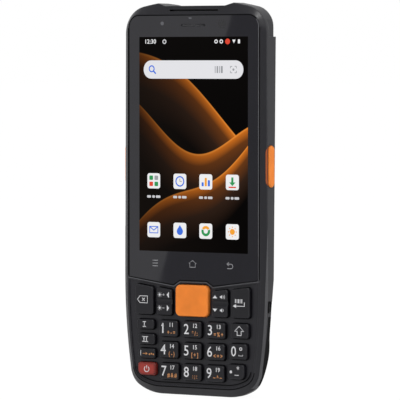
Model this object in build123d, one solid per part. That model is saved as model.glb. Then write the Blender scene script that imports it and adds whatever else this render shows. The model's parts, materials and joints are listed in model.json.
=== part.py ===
from build123d import *

import os
from math import atan, radians, sin, sqrt, tan

# Rugged hand-held data terminal, standing upright on its flat bottom edge.
# X is the user's right, Y runs from the keys (front) to the battery cover (back), Z runs up
# the length. The origin is on the flat bottom edge, in the middle of the width and of the
# depth from the scan key to the back.
# A "depth" is a distance behind the face of the cover glass. All sizes are in millimetres.

# ---- overall body
THICKNESS = 16.4
HALF_WAIST = 34.45
WAIST_Z = 48.0
EAR_Z = 159.0
EAR_X = 18.2
SHOULDER_DRAW = 0.45
SHOULDER_DROP = 13.7
CROWN_RADIUS = 120.0
TOP_CORNER = 11.0
TAPER_RADIUS = 255.0
FOOT_HALF = 16.0
FOOT_RADIUS = 22.0
LOW_CORNER = 9.0
WALL = 1.9
CLEAR = 0.15
HALF_SHOULDER = HALF_WAIST - SHOULDER_DRAW
SHOULDER_Z = EAR_Z - SHOULDER_DROP

# ---- rear shell section
SEAM = 1.9
CREASE_TOP = 8.0
CREASE_WAIST = 6.4
CREASE_FOOT = 2.9
GRIP_FOOT_Z = 24.0
ANKLE_RADIUS = 40.0
ANKLE_CREASE = 3.6
BACK_DRAW = 7.45
GRIP_DRAW = 0.6
BACK_ROUND = 8.0
HEAD_ROUND = 6.0
HEEL_ROUND = 2.3
HEAD_STEP = 0.8
HEAD_CORNER = 8.6
HEAD_STEP_DEPTH = 3.4
BACK_HALF = HALF_WAIST - BACK_DRAW
GRIP_BACK_HALF = BACK_HALF - GRIP_DRAW

# ---- front bevel
BEVEL_SIDE = 2.3
BEVEL_TOP = 4.1
BEVEL_LOW = 3.0
BEVEL_CROWN_RADIUS = 700.0
BEVEL_CORNER = 5.6
BEVEL_LOW_CORNER = 7.0
LIP_WALL = 1.5

# ---- top edge between the ears
DIP_DRAW = 3.8
DIP_DROP = 1.15
SLOT_DRAW = 2.6
SLOT_HEIGHT = 0.8
SLOT_DROP = 1.8
DIP_HALF = EAR_X - DIP_DRAW
DIP_Z = EAR_Z - DIP_DROP
SLOT_HALF = DIP_HALF - SLOT_DRAW
SLOT_Z = DIP_Z - SLOT_DROP

# ---- glass and display
GLASS_RIM = 3.45
GLASS_TOP_RIM = 5.1
GLASS_CORNER = 4.5
GLASS_THICK = 1.1
GLASS_CLEAR = 0.2
GLASS_LOW_Z = 44.9
GLASS_SIDE_RISE = 2.8
NOTCH_RISE = 1.9
NOTCH_HALF = 6.6
NOTCH_FOOT = 9.6
TAPE = 0.2
DISPLAY_RIM = 2.5
DISPLAY_LOW_RIM = 4.9
DISPLAY_TOP_RIM = 5.9
DISPLAY_THICK = 2.3
DISPLAY_CLEAR = 0.2
EARPIECE_DROP = 3.9
EARPIECE_WIDTH = 11.6
EARPIECE_HEIGHT = 1.0
RECEIVER_HALF = 7.2
CAMERA_X = 13.8
CAMERA_RADIUS = 2.0
CAMERA_DROP = 3.5
LED_X = -15.0
LED_RADIUS = 0.9
LED_DROP = 3.4
GLASS_HALF = HALF_WAIST - GLASS_RIM
GLASS_TOP = EAR_Z - GLASS_TOP_RIM
GLASS_SIDE_Z = GLASS_LOW_Z + GLASS_SIDE_RISE
NOTCH_Z = GLASS_LOW_Z + NOTCH_RISE
DISPLAY_HALF = GLASS_HALF - DISPLAY_RIM
DISPLAY_LOW = GLASS_SIDE_Z + DISPLAY_LOW_RIM
DISPLAY_TOP = GLASS_TOP - DISPLAY_TOP_RIM
EARPIECE_Z = GLASS_TOP - EARPIECE_DROP
CAMERA_Z = GLASS_TOP - CAMERA_DROP
LED_Z = GLASS_TOP - LED_DROP

# ---- keypad
PLATE_FACE = 0.4
PLATE = 2.0
RIDGE = 1.3
PLATE_INSET = 0.9
KEY_PROUD = 1.3
SCAN_PROUD = 1.4
KEY_GAP = 0.25
KEY_TRAVEL = 0.5
KEY_ROUND = 1.1
KEY_EDGE = 0.35
FLANGE = 0.5
FLANGE_THICK = 0.6
FLANGE_GAP = 0.1
DIGIT_WIDTH = 9.0
DIGIT_HEIGHT = 6.6
DIGIT_PITCH_X = 11.4
DIGIT_PITCH_Z = 8.7
DIGIT_LOW_Z = 9.5
ROW_SHRINK = 0.22
KEY_ROW_GAP = 2.1
SCAN_WIDTH = 15.6
SCAN_DROP = 1.9
SCAN_ROUND = 2.2
CORNER_KEY_IN = 18.8
CORNER_KEY_RIM = 6.95
CORNER_KEY_DROP = 0.1
ROCKER_IN = 9.7
ROCKER_OUT = 17.1
ROCKER_DROP = 1.2
ROCKER_TILT = 2.5
ROCKER_VALLEY = 1.5
VALLEY_DEPTH = 0.8
KEY_SLOPE = 0.133
# small keys beside the digits: side, inner X, rim to the body's side, drop from the tall keys, height
SMALL_KEYS = {
    "key_p1": (-1, 18.4, 7.75, 4.0, 4.0),
    "key_p2": (-1, 18.05, 8.1, 10.1, 4.4),
    "key_mode": (-1, 17.85, 8.3, 15.9, 4.0),
    "key_power": (-1, 17.6, 8.25, 22.2, 5.2),
    "key_fn": (1, 18.7, 7.45, 5.2, 6.0),
    "key_0": (1, 18.0, 8.15, 13.5, 6.3),
    "key_point": (1, 17.15, 9.5, 21.7, 6.0),
}
CUT_CORNERS = {"key_power": 2.4, "key_point": 2.0}
MAT_GAP = 0.1
MAT = 0.7
MAT_BOSS = 0.4
MAT_BOSS_WIDTH = 3.2
MAT_BOSS_HEIGHT = 2.4
MAT_RIM = 6.85
MAT_LOW_Z = 6.2
MAT_MARGIN = 2.8
BOARD = 1.0
DOME_RADIUS = 2.0
DOME_THICK = 0.25
ROCKER_DOME = 2.9
TALL_LOW_Z = DIGIT_LOW_Z + 2 * DIGIT_PITCH_Z + DIGIT_HEIGHT / 2 + KEY_ROW_GAP
SCAN_TOP_Z = NOTCH_Z - SCAN_DROP
CORNER_KEY_OUT = HALF_WAIST - CORNER_KEY_RIM
CORNER_KEY_TOP = GLASS_LOW_Z - CORNER_KEY_DROP
ROCKER_TOP = GLASS_LOW_Z - ROCKER_DROP
KEYPAD_HALF = HALF_WAIST - MAT_RIM
KEYPAD_TOP_Z = SCAN_TOP_Z + 0.1

# ---- side scan buttons and their switches
BUTTON_LENGTH = 16.8
BUTTON_WIDTH = 4.0
BUTTON_Z = 93.3
BUTTON_DEPTH = 4.4
BUTTON_PROUD = 0.7
BUTTON_TRAVEL = 0.4
BUTTON_FLANGE = 0.8
BUTTON_FLANGE_WIDTH = 2.0
BUTTON_FLANGE_THICK = 0.8
RIB_THICK = 1.0
SWITCH_BOARD = 0.6
SWITCH_BODY = 0.9

# ---- scanner, cameras and loudspeaker
WINDOW_DRAW = 1.2
WINDOW_NEAR = 4.4
WINDOW_RIM = 3.4
WINDOW_THICK = 1.1
WINDOW_SUNK = 0.15
WINDOW_LEDGE = 1.0
ENGINE_DRAW = 2.2
ENGINE_DEPTH = 5.5
ENGINE_DROP = 4.5
ENGINE_HEIGHT = 12.4
LENS_RADIUS = 2.8
LAMP_X = 7.4
LAMP_RADIUS = 1.7
REAR_CAMERA_DROP = 12.6
REAR_CAMERA_RADIUS = 4.0
REAR_CAMERA_BASE = 4.6
REAR_LENS_RADIUS = 2.2
REAR_WINDOW_RADIUS = 5.6
REAR_WINDOW_SEAT = 0.8
FLASH_X = 9.6
FLASH_RADIUS = 1.7
SPEAKER_X = -15.0
SPEAKER_DROP = 13.6
SPEAKER_HALF = 5.5
SPEAKER_HEIGHT = 12.0
SPEAKER_THICK = 4.0
GRILLE_RADIUS = 0.6
GRILLE_PITCH = 2.2
GRILLE_COLUMNS = 3
GRILLE_ROWS = 5
WINDOW_HALF = DIP_HALF - WINDOW_DRAW
WINDOW_FAR = THICKNESS - WINDOW_RIM
ENGINE_HALF = WINDOW_HALF - ENGINE_DRAW
ENGINE_TOP = DIP_Z - ENGINE_DROP
ENGINE_LOW = ENGINE_TOP - ENGINE_HEIGHT
REAR_CAMERA_Z = ENGINE_LOW - REAR_CAMERA_DROP
SPEAKER_Z = ENGINE_LOW - SPEAKER_DROP

# ---- battery bay, cover and latch
COVER_RIM = 1.0
COVER_LOW = 23.5
COVER_DROP = 18.0
COVER_THICK = 1.5
COVER_CORNER = 4.0
COVER_GAP = 0.15
SEAT_GAP = 0.1
BAY_FLOOR = 1.0
BATTERY_GAP = 0.35
BATTERY_ROOM = 0.7
CONTACT_LENGTH = 2.0
CONTACT_HALF = 6.0
CONTACT_PITCH = 2.8
BAY_WALL = 1.2
BAY_DRAW = 1.0
BAY_DROP = 4.0
BAY_START = 14.1
BAY_MARGIN_LOW = 3.6
BAY_MARGIN_TOP = 2.6
TONGUE_X = 15.0
TONGUE_WIDTH = 6.0
TONGUE_THICK = 0.8
TONGUE_REACH = 1.5
COVER_SWING = 30.0
LATCH_HALF = 7.0
LATCH_TRAVEL = 2.5
LATCH_PLATE = 0.8
LATCH_LENGTH = 11.0
LATCH_GAP = 0.12
LATCH_START = 0.3
KEEPER_REACH = 2.6
PAD_HALF = 5.0
PAD_LENGTH = 5.0
PAD_DISH = 0.7
PAD_START = 3.2
PAD_MARGIN = 1.5
RAIL_WALL = 1.0
RAIL_HOOK = 0.8
RAIL_LENGTH = 7.0
RAIL_START = 4.0
COVER_HALF = BACK_HALF - COVER_RIM
COVER_TOP = REAR_CAMERA_Z - COVER_DROP
BAY_HALF = COVER_HALF - BAY_DRAW
BAY_LOW = COVER_LOW + BAY_START
BAY_TOP = COVER_TOP - BAY_DROP

# ---- main board, its shields and the small parts at the foot
MAIN_DEPTH = 4.6
MAIN_GAP = 1.95
MAIN_LOW = 50.0
MAIN_TOP_GAP = 1.6
BOARD_NOTCH = 3.0
BOARD_SCREW_RIM = 2.9
BOARD_SCREW_LOW = 4.0
BOARD_SCREW_HIGH = 54.0
PILLAR_RADIUS = 1.8
CAN_HEIGHT = 1.4
CAN_ROOM = 0.6
SHIELD_CANS = [(-20, -2, 60, 84), (3, 21, 62, 80), (-16, 10, 89, 100)]
USB_WIDTH = 9.0
USB_HEIGHT = 3.2
USB_LENGTH = 7.3
USB_SUNK = 0.6
USB_SHELL = 0.35
PIN_COUNT = 4
PIN_RADIUS = 1.1
PIN_PITCH = 4.2
PIN_Z = 15.0
MOTOR_X = 16.5
MOTOR_Z = 14.6
MOTOR_RADIUS = 4.0
MOTOR_THICK = 2.7

# ---- screws, seal and strap posts
SCREW_RIM = 14.45
SCREW_DROP = 8.3
LOW_SCREW_DRAW = 3.0
LOW_SCREW_Z = 3.7
SCREW_RADIUS = 0.8
HEAD_RADIUS = 1.6
HEAD_THICK = 1.2
HEAD_SUNK = 0.3
BOSS_RADIUS = 2.2
SEAL_WIDTH = 0.7
SEAL_THICK = 0.3
SEAL_INSET = 0.6
STRAP_Z = 37.0
STRAP_SLOT = 4.5
STRAP_WIDTH = 2.4
STRAP_NEAR = 3.8
STRAP_WRAP = 1.4
STRAP_POST = 2.2
STRAP_MARGIN = 2.4
STRAP_SKIN = 1.0
SCREW_X = HALF_WAIST - SCREW_RIM
SCREW_Z = EAR_Z - SCREW_DROP
LOW_SCREW_X = FOOT_HALF - LOW_SCREW_DRAW
STRAP_FAR = STRAP_NEAR + STRAP_WIDTH + STRAP_WRAP
STRAP_BLOCK_X = CORNER_KEY_OUT + FLANGE + CLEAR

# ---- depths worked out from the sizes above
FRONT_Y = -(THICKNESS - SCAN_PROUD) / 2
PLATE_BACK = PLATE_FACE + PLATE
LEDGE_FACE = GLASS_THICK + TAPE
LEDGE_BACK = LEDGE_FACE + PLATE
FLANGE_FACE = PLATE_BACK + FLANGE_GAP
FLANGE_BACK = FLANGE_FACE + FLANGE_THICK
MAT_FACE = FLANGE_BACK + KEY_TRAVEL + MAT_GAP
MAT_BACK = MAT_FACE + MAT_BOSS + MAT
KEYPAD_BOARD_BACK = MAT_BACK + BOARD
MAIN_BACK = MAIN_DEPTH + BOARD
COVER_FACE = THICKNESS - COVER_THICK
COVER_SEAT = COVER_FACE - SEAT_GAP
BAY_FACE = MAIN_BACK + CAN_HEIGHT + CAN_ROOM + BAY_FLOOR
BATTERY_THICK = COVER_SEAT - BATTERY_ROOM - BAY_FACE
LATCH_FACE = COVER_FACE - LATCH_GAP - LATCH_PLATE
RAIL_DEPTH = LATCH_FACE - LATCH_GAP - RAIL_HOOK
SHELF_DEPTH = RAIL_DEPTH - 0.3
HEAD_FACE = THICKNESS - HEAD_SUNK - HEAD_THICK
INNER_BACK = THICKNESS - WALL
ROCKER_HALF = (ROCKER_TOP - TALL_LOW_Z) / 2 + FLANGE
ROCKER_GAP = ROCKER_HALF * sin(radians(ROCKER_TILT)) + 0.2
DIGITS = ["1", "2", "3", "4", "5", "6", "7", "8", "9"]


def front_plane(depth):
    """The X-Z plane at a depth behind the glass face, seen from the front."""
    return Plane(origin=(0, FRONT_Y + depth, 0), x_dir=(1, 0, 0), z_dir=(0, -1, 0))


def slab(face, near, far):
    """A face drawn in X and Z, given the thickness between two depths."""
    return extrude(front_plane(far) * face, amount=far - near)


def block(x_range, depths, z_range):
    """A plain block between two X values, two depths and two heights."""
    size = (x_range[1] - x_range[0], depths[1] - depths[0], z_range[1] - z_range[0])
    low = (x_range[0], FRONT_Y + depths[0], z_range[0])
    return Pos(*low) * Box(*size, align=(Align.MIN, Align.MIN, Align.MIN))


def disc(x, z, radius, near, far):
    """A round bar along Y."""
    return slab(Pos(x, z) * Circle(radius), near, far)


def rounded(x, z, width, height, radius):
    return Pos(x, z) * RectangleRounded(width, height, radius)


def both_sides(shape):
    return shape + shape.mirror(Plane.YZ)


def circles_meet(first, first_radius, second, second_radius):
    """The lower of the two points where two circles cross."""
    gap = (second - first).length
    along = (gap**2 + first_radius**2 - second_radius**2) / (2 * gap)
    across = sqrt(first_radius**2 - along**2)
    way = (second - first).normalized()
    middle = first + way * along
    options = [middle + Vector(-way.Y, way.X) * across, middle - Vector(-way.Y, way.X) * across]
    return min(options, key=lambda point: point.Y)


def arc_between(centre, radius, start, end):
    """An arc about a centre, through the point halfway round from start to end."""
    middle = ((start + end) / 2 - centre).normalized() * radius + centre
    return ThreePointArc(start, middle, end)


def outline(side=0.0, top=0.0, low=0.0, crown=CROWN_RADIUS, corner=TOP_CORNER, foot=LOW_CORNER,
            waist_z=WAIST_Z, taper=TAPER_RADIUS):
    """Front view of the body: flat foot, curved lower corners, waist, shoulders and crown."""
    crown_centre = Vector(0, EAR_Z - top - sqrt(crown**2 - EAR_X**2))
    shoulder = Vector(HALF_SHOULDER - side, SHOULDER_Z)
    crown_end = Vector(shoulder.X, crown_centre.Y + sqrt(crown**2 - shoulder.X**2))
    waist = Vector(HALF_WAIST - side, waist_z)
    taper_centre = Vector(waist.X - taper, waist_z)
    foot_end = Vector(FOOT_HALF, low)
    foot_centre = Vector(FOOT_HALF, low + FOOT_RADIUS)
    corner_point = circles_meet(foot_centre, FOOT_RADIUS, taper_centre, taper)
    with BuildSketch() as sketch:
        with BuildLine():
            Line((0, low), foot_end)
            arc_between(foot_centre, FOOT_RADIUS, foot_end, corner_point)
            arc_between(taper_centre, taper, corner_point, waist)
            Line(waist, shoulder)
            Line(shoulder, crown_end)
            arc_between(crown_centre, crown, crown_end, Vector(0, crown_centre.Y + crown))
            mirror(about=Plane.YZ)
        make_face()
        corners = [v for v in sketch.vertices() if abs(abs(v.X) - corner_point.X) < 0.01]
        fillet([v for v in corners if v.Y < waist_z], foot)
        corners = [v for v in sketch.vertices() if abs(v.Y - crown_end.Y) < 0.01]
        fillet(corners, corner)
    return sketch.sketch


def inner_outline(inset):
    """The body's outline with its trough, drawn in by a wall."""
    face = outline() - dip()
    return offset(face, amount=-inset, kind=Kind.INTERSECTION) if inset else face


def shell_section(crease, back_half, inset):
    """Half-round-backed section of the body in X and Y, at one height."""
    reach = HALF_WAIST + 2
    slope = (HALF_WAIST - back_half) / (THICKNESS - crease)
    side_depth = crease - (reach - HALF_WAIST) / slope
    points = [(-reach, -1), (reach, -1), (reach, side_depth), (back_half, THICKNESS)]
    points += [(-back_half, THICKNESS), (-reach, side_depth)]
    with BuildSketch() as sketch:
        with BuildLine():
            Polyline(*points, close=True)
        make_face()
        back = [v for v in sketch.vertices() if v.Y > THICKNESS - 0.01]
        fillet(back, BACK_ROUND)
    face = sketch.sketch
    if inset:
        face = offset(face, amount=-inset, kind=Kind.INTERSECTION)
    return Pos(0, FRONT_Y) * face


def drawn_in(face, crease, back_half, inset):
    """A front view run straight to the crease, then drawn in from both sides, round corners too."""
    slope = (HALF_WAIST - back_half) / (THICKNESS - crease)
    start = crease - inset * tan(atan(slope) / 2)
    face = offset(face, amount=-inset, kind=Kind.INTERSECTION) if inset else face
    path = Vector(-slope, 1, 0) * (THICKNESS + 1 - start)
    leaning = extrude(front_plane(start) * face, amount=path.length, dir=path.normalized())
    return slab(face, -1, start) + (leaning & mirror(leaning, about=Plane.YZ))


def lengthways(inset=0.0):
    """The body as seen from above: flat sides and a bevelled back, slimmer at the grip.

    Behind the seam, the sides of the scanner head stand in a little.
    """
    head = shell_section(CREASE_TOP, BACK_HALF, inset)
    waist = shell_section(CREASE_WAIST, BACK_HALF, inset)
    grip = shell_section(CREASE_FOOT, GRIP_BACK_HALF, inset)
    upper = loft([Pos(0, 0, WAIST_Z) * waist, Pos(0, 0, SHOULDER_Z) * head], ruled=True)
    lower = loft([Pos(0, 0, GRIP_FOOT_Z) * grip, Pos(0, 0, WAIST_Z) * waist], ruled=True)
    top = extrude(Pos(0, 0, SHOULDER_Z) * head, amount=EAR_Z + 5 - SHOULDER_Z)
    heel = extrude(Pos(0, 0, -1) * grip, amount=GRIP_FOOT_Z + 1)
    crown = outline(HEAD_STEP, -CLEAR, corner=HEAD_CORNER)
    top &= drawn_in(crown, CREASE_TOP, BACK_HALF, inset) + slab(outline(-1), -1, HEAD_STEP_DEPTH)
    ankle = outline(low=-CLEAR, waist_z=GRIP_FOOT_Z, taper=ANKLE_RADIUS)
    heel &= drawn_in(ankle, ANKLE_CREASE, GRIP_BACK_HALF, inset)
    return heel + lower + upper + top


def sideways(inset=0.0):
    """The body as seen from the side: a rectangle with its two back corners rounded."""
    low, high = inset, EAR_Z + 1 - inset
    with BuildSketch(Plane.YZ) as sketch:
        with BuildLine():
            front = FRONT_Y - 2
            back = FRONT_Y + THICKNESS - inset
            Polyline((front, low), (back, low), (back, high), (front, high), close=True)
        make_face()
        heel = sketch.vertices().group_by(Axis.X)[-1].sort_by(Axis.Y)[0]
        fillet(heel, HEEL_ROUND - inset)
        head = sketch.vertices().group_by(Axis.X)[-1].sort_by(Axis.Y)[-1]
        fillet(head, HEAD_ROUND - inset)
    return extrude(sketch.sketch, amount=HALF_WAIST + 3, both=True)


def dip():
    """The shallow trough in the top edge between the two ears, as a face."""
    reach = EAR_Z + 3
    slope = (EAR_X - DIP_HALF) / (EAR_Z - DIP_Z)
    top_half = DIP_HALF + slope * (reach - DIP_Z)
    points = [(-DIP_HALF, DIP_Z), (DIP_HALF, DIP_Z), (top_half, reach), (-top_half, reach)]
    with BuildSketch() as sketch:
        with BuildLine():
            Polyline(*points, close=True)
        make_face()
    return sketch.sketch


def rear_body(inset, near, far):
    """Solid of the rear half between two depths, drawn in by a wall all round."""
    return slab(inner_outline(inset), near, far) & lengthways(inset) & sideways(inset)


def glass_low_edge(drop, reach):
    """The glass's lower edge from left to right, with the notch over the scan key."""
    slope = (GLASS_SIDE_Z - GLASS_LOW_Z) / (GLASS_HALF - NOTCH_FOOT)
    end_z = GLASS_LOW_Z + slope * (reach - NOTCH_FOOT) - drop
    left = [(-reach, end_z), (-NOTCH_FOOT, GLASS_LOW_Z - drop), (-NOTCH_HALF, NOTCH_Z - drop)]
    right = [(-x, z) for x, z in reversed(left)]
    return left + right


def glass_face(grow=0.0):
    points = glass_low_edge(0, GLASS_HALF) + [(GLASS_HALF, GLASS_TOP), (-GLASS_HALF, GLASS_TOP)]
    with BuildSketch() as sketch:
        with BuildLine():
            Polyline(*points, close=True)
        make_face()
        fillet(sketch.vertices().group_by(Axis.Y)[-1], GLASS_CORNER)
    return offset(sketch.sketch, amount=grow) if grow else sketch.sketch


def below_glass(drop, floor=-5.0):
    """Everything under the glass's lower edge, as a face."""
    reach = HALF_WAIST + 2
    points = glass_low_edge(drop, reach) + [(reach, floor), (-reach, floor)]
    with BuildSketch() as sketch:
        with BuildLine():
            Polyline(*points, close=True)
        make_face()
    return sketch.sketch


# ---- keys, each as a face in X and Z


def digit_place(index):
    """Centre of a digit key; the columns close up a little towards the foot."""
    row, column = divmod(index, 3)
    pitch = DIGIT_PITCH_X - ROW_SHRINK * row
    return (column - 1) * pitch, DIGIT_LOW_Z + DIGIT_PITCH_Z * (2 - row)


def slanted_key(inner, outer, top, side, radius):
    """A tall key whose top edge runs parallel to the glass edge above it."""
    inner_top = top - KEY_SLOPE * (outer - inner)
    points = [(inner, TALL_LOW_Z), (outer, TALL_LOW_Z), (outer, top), (inner, inner_top)]
    with BuildSketch() as sketch:
        with BuildLine():
            Polyline(*[(side * x, z) for x, z in points], close=True)
        make_face()
        fillet(sketch.vertices(), radius)
    return sketch.sketch


def small_key(side, inner, rim, drop, height):
    """A key between the digits and the side of the body, as a plain rectangle."""
    outer = HALF_WAIST - rim
    place = (side * (inner + outer) / 2, TALL_LOW_Z - drop)
    with BuildSketch() as sketch:
        with Locations(place):
            Rectangle(outer - inner, height)
    return sketch.sketch


def round_small_key(face, side, cut):
    """The key's corners rounded, the lower outer one more so where it follows the body."""
    corners = face.vertices().sort_by(lambda v: v.Y - side * v.X)
    face = fillet(corners[1:], KEY_ROUND)
    outer = face.vertices().sort_by(lambda v: v.Y - side * v.X)[0]
    return fillet(outer, cut)


def key_faces():
    faces = {}
    for index, digit in enumerate(DIGITS):
        faces["key_" + digit] = rounded(*digit_place(index), DIGIT_WIDTH, DIGIT_HEIGHT, KEY_ROUND)
    scan_low = TALL_LOW_Z - CORNER_KEY_DROP
    scan_middle = (scan_low + SCAN_TOP_Z) / 2
    faces["key_scan"] = rounded(0, scan_middle, SCAN_WIDTH, SCAN_TOP_Z - scan_low, SCAN_ROUND)
    faces["key_delete"] = slanted_key(CORNER_KEY_IN, CORNER_KEY_OUT, CORNER_KEY_TOP, -1, KEY_ROUND)
    faces["key_enter"] = slanted_key(CORNER_KEY_IN, CORNER_KEY_OUT, CORNER_KEY_TOP, 1, KEY_ROUND)
    for name, sizes in SMALL_KEYS.items():
        cut = CUT_CORNERS.get(name, KEY_ROUND)
        faces[name] = round_small_key(small_key(*sizes), sizes[0], cut)
    return faces


def rocker_faces():
    return {
        "rocker_left": slanted_key(ROCKER_IN, ROCKER_OUT, ROCKER_TOP, -1, KEY_ROUND),
        "rocker_right": slanted_key(ROCKER_IN, ROCKER_OUT, ROCKER_TOP, 1, KEY_ROUND),
    }


def cap(face, proud, gap):
    """A moulded cap with softened edges, and the flange that keeps it under the plate."""
    flange_face = PLATE_BACK + gap
    body = slab(face, -proud, flange_face)
    rim = body.faces().sort_by(Axis.Y)[0].edges()
    body = chamfer(rim, KEY_EDGE)
    return body + slab(offset(face, amount=FLANGE), flange_face, flange_face + FLANGE_THICK)


def rocker_cap(face):
    """A rocking cap: two pads parted by a valley across the middle."""
    body = cap(face, KEY_PROUD, ROCKER_GAP)
    middle_z = (TALL_LOW_Z + ROCKER_TOP) / 2
    valley_y = FRONT_Y - KEY_PROUD + VALLEY_DEPTH - ROCKER_VALLEY
    valley = Pos(0, valley_y, middle_z) * Rot(0, 90, 0) * Cylinder(ROCKER_VALLEY, 2 * HALF_WAIST)
    return body - valley


# ---- housings


def bevel_outline():
    """The body's outline at the face of the glass, drawn in by the bevel."""
    drawn_in = (BEVEL_SIDE, BEVEL_TOP, BEVEL_LOW)
    return outline(*drawn_in, BEVEL_CROWN_RADIUS, BEVEL_CORNER, BEVEL_LOW_CORNER)


def front_blank():
    """Bevelled front frame with the lip that drops inside the rear shell."""
    bevel = loft([front_plane(SEAM) * outline(), front_plane(0) * bevel_outline()], ruled=True)
    lip = slab(inner_outline(WALL + CLEAR), SEAM, LEDGE_BACK)
    return bevel + lip - slab(dip(), -1, SEAM)


def front_housing():
    solid = front_blank()
    solid -= slab(glass_face(GLASS_CLEAR), -1, LEDGE_FACE)
    solid -= display_window()
    field = below_glass(RIDGE) & offset(bevel_outline(), amount=-PLATE_INSET, kind=Kind.INTERSECTION)
    solid -= slab(field, -1, PLATE_FACE)
    pocket = below_glass(0) & inner_outline(WALL + CLEAR + LIP_WALL)
    solid -= slab(pocket, PLATE_BACK, LEDGE_BACK + 1)
    for face in [*key_faces().values(), *rocker_faces().values()]:
        solid -= slab(offset(face, amount=KEY_GAP), -1, LEDGE_BACK + 1)
    solid -= disc(CAMERA_X, CAMERA_Z, CAMERA_RADIUS + CLEAR, 0, LEDGE_BACK + 1)
    solid -= disc(LED_X, LED_Z, LED_RADIUS + CLEAR, 0, LEDGE_BACK + 1)
    solid -= both_sides(side_relief())
    solid -= top_slot()
    for x, z in screw_places():
        solid += disc(x, z, BOSS_RADIUS - 0.6, PLATE_BACK, LEDGE_BACK + 1)
        solid -= disc(x, z, SCREW_RADIUS, SEAM, LEDGE_BACK + 2)
    return solid


def display_window():
    """Opening for the display module, with a bay above it for the earpiece receiver."""
    half = DISPLAY_HALF + DISPLAY_CLEAR
    low, high = DISPLAY_LOW - DISPLAY_CLEAR, DISPLAY_TOP + DISPLAY_CLEAR
    opening = block((-half, half), (LEDGE_FACE - 1, LEDGE_BACK + 1), (low, high))
    ear_half = RECEIVER_HALF + DISPLAY_CLEAR
    ear = block((-ear_half, ear_half), (LEDGE_FACE - 1, LEDGE_BACK + 1), (high - 1, EARPIECE_Z + 2.4))
    return opening + ear


def side_relief():
    """Room in the front frame's lip for a side button and for a strap block."""
    reach = BUTTON_LENGTH / 2 + BUTTON_FLANGE + 4 * CLEAR
    button_x = (flange_back_x() - 2 * BUTTON_TRAVEL - CLEAR, HALF_WAIST + 1)
    button = block(button_x, (SEAM + 0.4, LEDGE_BACK + 1), (BUTTON_Z - reach, BUTTON_Z + reach))
    half = STRAP_SLOT / 2 + STRAP_MARGIN + CLEAR
    strap_x = (STRAP_BLOCK_X - CLEAR, HALF_WAIST - WALL - 0.05)
    strap = block(strap_x, (PLATE_BACK, LEDGE_BACK + 1), (STRAP_Z - half, STRAP_Z + half))
    return button + strap


def top_slot():
    """Long thin groove in the bevel above the glass."""
    face = rounded(0, SLOT_Z, 2 * SLOT_HALF, SLOT_HEIGHT, SLOT_HEIGHT / 2 - 0.01)
    return slab(face, 0, SEAM + 0.6) - slab(outline(0, 1), SEAM, SEAM + 2)


def screw_places():
    upper = [(SCREW_X, SCREW_Z), (-SCREW_X, SCREW_Z)]
    return upper + [(LOW_SCREW_X, LOW_SCREW_Z), (-LOW_SCREW_X, LOW_SCREW_Z)]


def button_face(grow=0.0):
    """Side view of a side button: a slot shape in Y and Z."""
    length = BUTTON_LENGTH + 2 * grow
    width = BUTTON_WIDTH + 2 * grow
    slot = RectangleRounded(width, length, width / 2 - 0.01)
    return Plane.YZ * Pos(FRONT_Y + BUTTON_DEPTH, BUTTON_Z) * slot


def side_bar(face, low_x, high_x):
    return extrude(Pos(low_x, 0, 0) * face, amount=high_x - low_x)


def wall_x(z):
    """Half width of the straight side between waist and shoulder."""
    share = (z - WAIST_Z) / (SHOULDER_Z - WAIST_Z)
    return HALF_WAIST + (HALF_SHOULDER - HALF_WAIST) * share


def flange_back_x():
    """Inner face of a side button's flange."""
    return wall_x(BUTTON_Z) - WALL - CLEAR - BUTTON_FLANGE_THICK


def side_button(side):
    flange_back = flange_back_x()
    flange_face = flange_back + BUTTON_FLANGE_THICK
    button = side_bar(button_face(), flange_face, wall_x(BUTTON_Z) + BUTTON_PROUD)
    outer_rim = button.faces().sort_by(Axis.X)[-1].edges()
    button = chamfer(outer_rim, KEY_EDGE)
    half = BUTTON_LENGTH / 2 + BUTTON_FLANGE
    depths = (BUTTON_DEPTH - BUTTON_FLANGE_WIDTH / 2, BUTTON_DEPTH + BUTTON_FLANGE_WIDTH / 2)
    flange = block((flange_back, flange_face), depths, (BUTTON_Z - half, BUTTON_Z + half))
    shape = button + flange
    return shape if side > 0 else shape.mirror(Plane.YZ)


def strap_block():
    """Solid corner of the rear shell that carries the wrist-strap post."""
    half = STRAP_SLOT / 2 + STRAP_MARGIN
    x_range = (STRAP_BLOCK_X, HALF_WAIST + 1)
    return block(x_range, (STRAP_NEAR - 0.4, THICKNESS), (STRAP_Z - half, STRAP_Z + half))


def strap_tunnel():
    """Passage round the post: in through the side, out through the bevelled back."""
    heights = (STRAP_Z - STRAP_SLOT / 2, STRAP_Z + STRAP_SLOT / 2)
    post_x = HALF_WAIST - STRAP_SKIN - STRAP_POST
    inner_x = post_x - STRAP_WIDTH
    outer_x = HALF_WAIST + 5
    back = STRAP_FAR + STRAP_WIDTH
    entry = block((inner_x, outer_x), (STRAP_NEAR, STRAP_NEAR + STRAP_WIDTH), heights)
    passage = block((inner_x, post_x), (STRAP_NEAR, back), heights)
    leave = block((inner_x, outer_x), (STRAP_FAR, back), heights)
    return entry + passage + leave


def cover_face(grow=0.0):
    width = 2 * (COVER_HALF + grow)
    height = COVER_TOP - COVER_LOW + 2 * grow
    return rounded(0, (COVER_TOP + COVER_LOW) / 2, width, height, COVER_CORNER + grow)


def tongues(grow=0.0, low_grow=0.0):
    """Two tongues at the cover's top edge that hook under the housing's skin."""
    far = COVER_FACE + TONGUE_THICK + grow
    heights = (COVER_TOP - 2, COVER_TOP + TONGUE_REACH + 2 * grow)
    half = TONGUE_WIDTH / 2 + grow
    tongue = block((TONGUE_X - half, TONGUE_X + half), (COVER_FACE - low_grow, far), heights)
    return both_sides(tongue)


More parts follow.
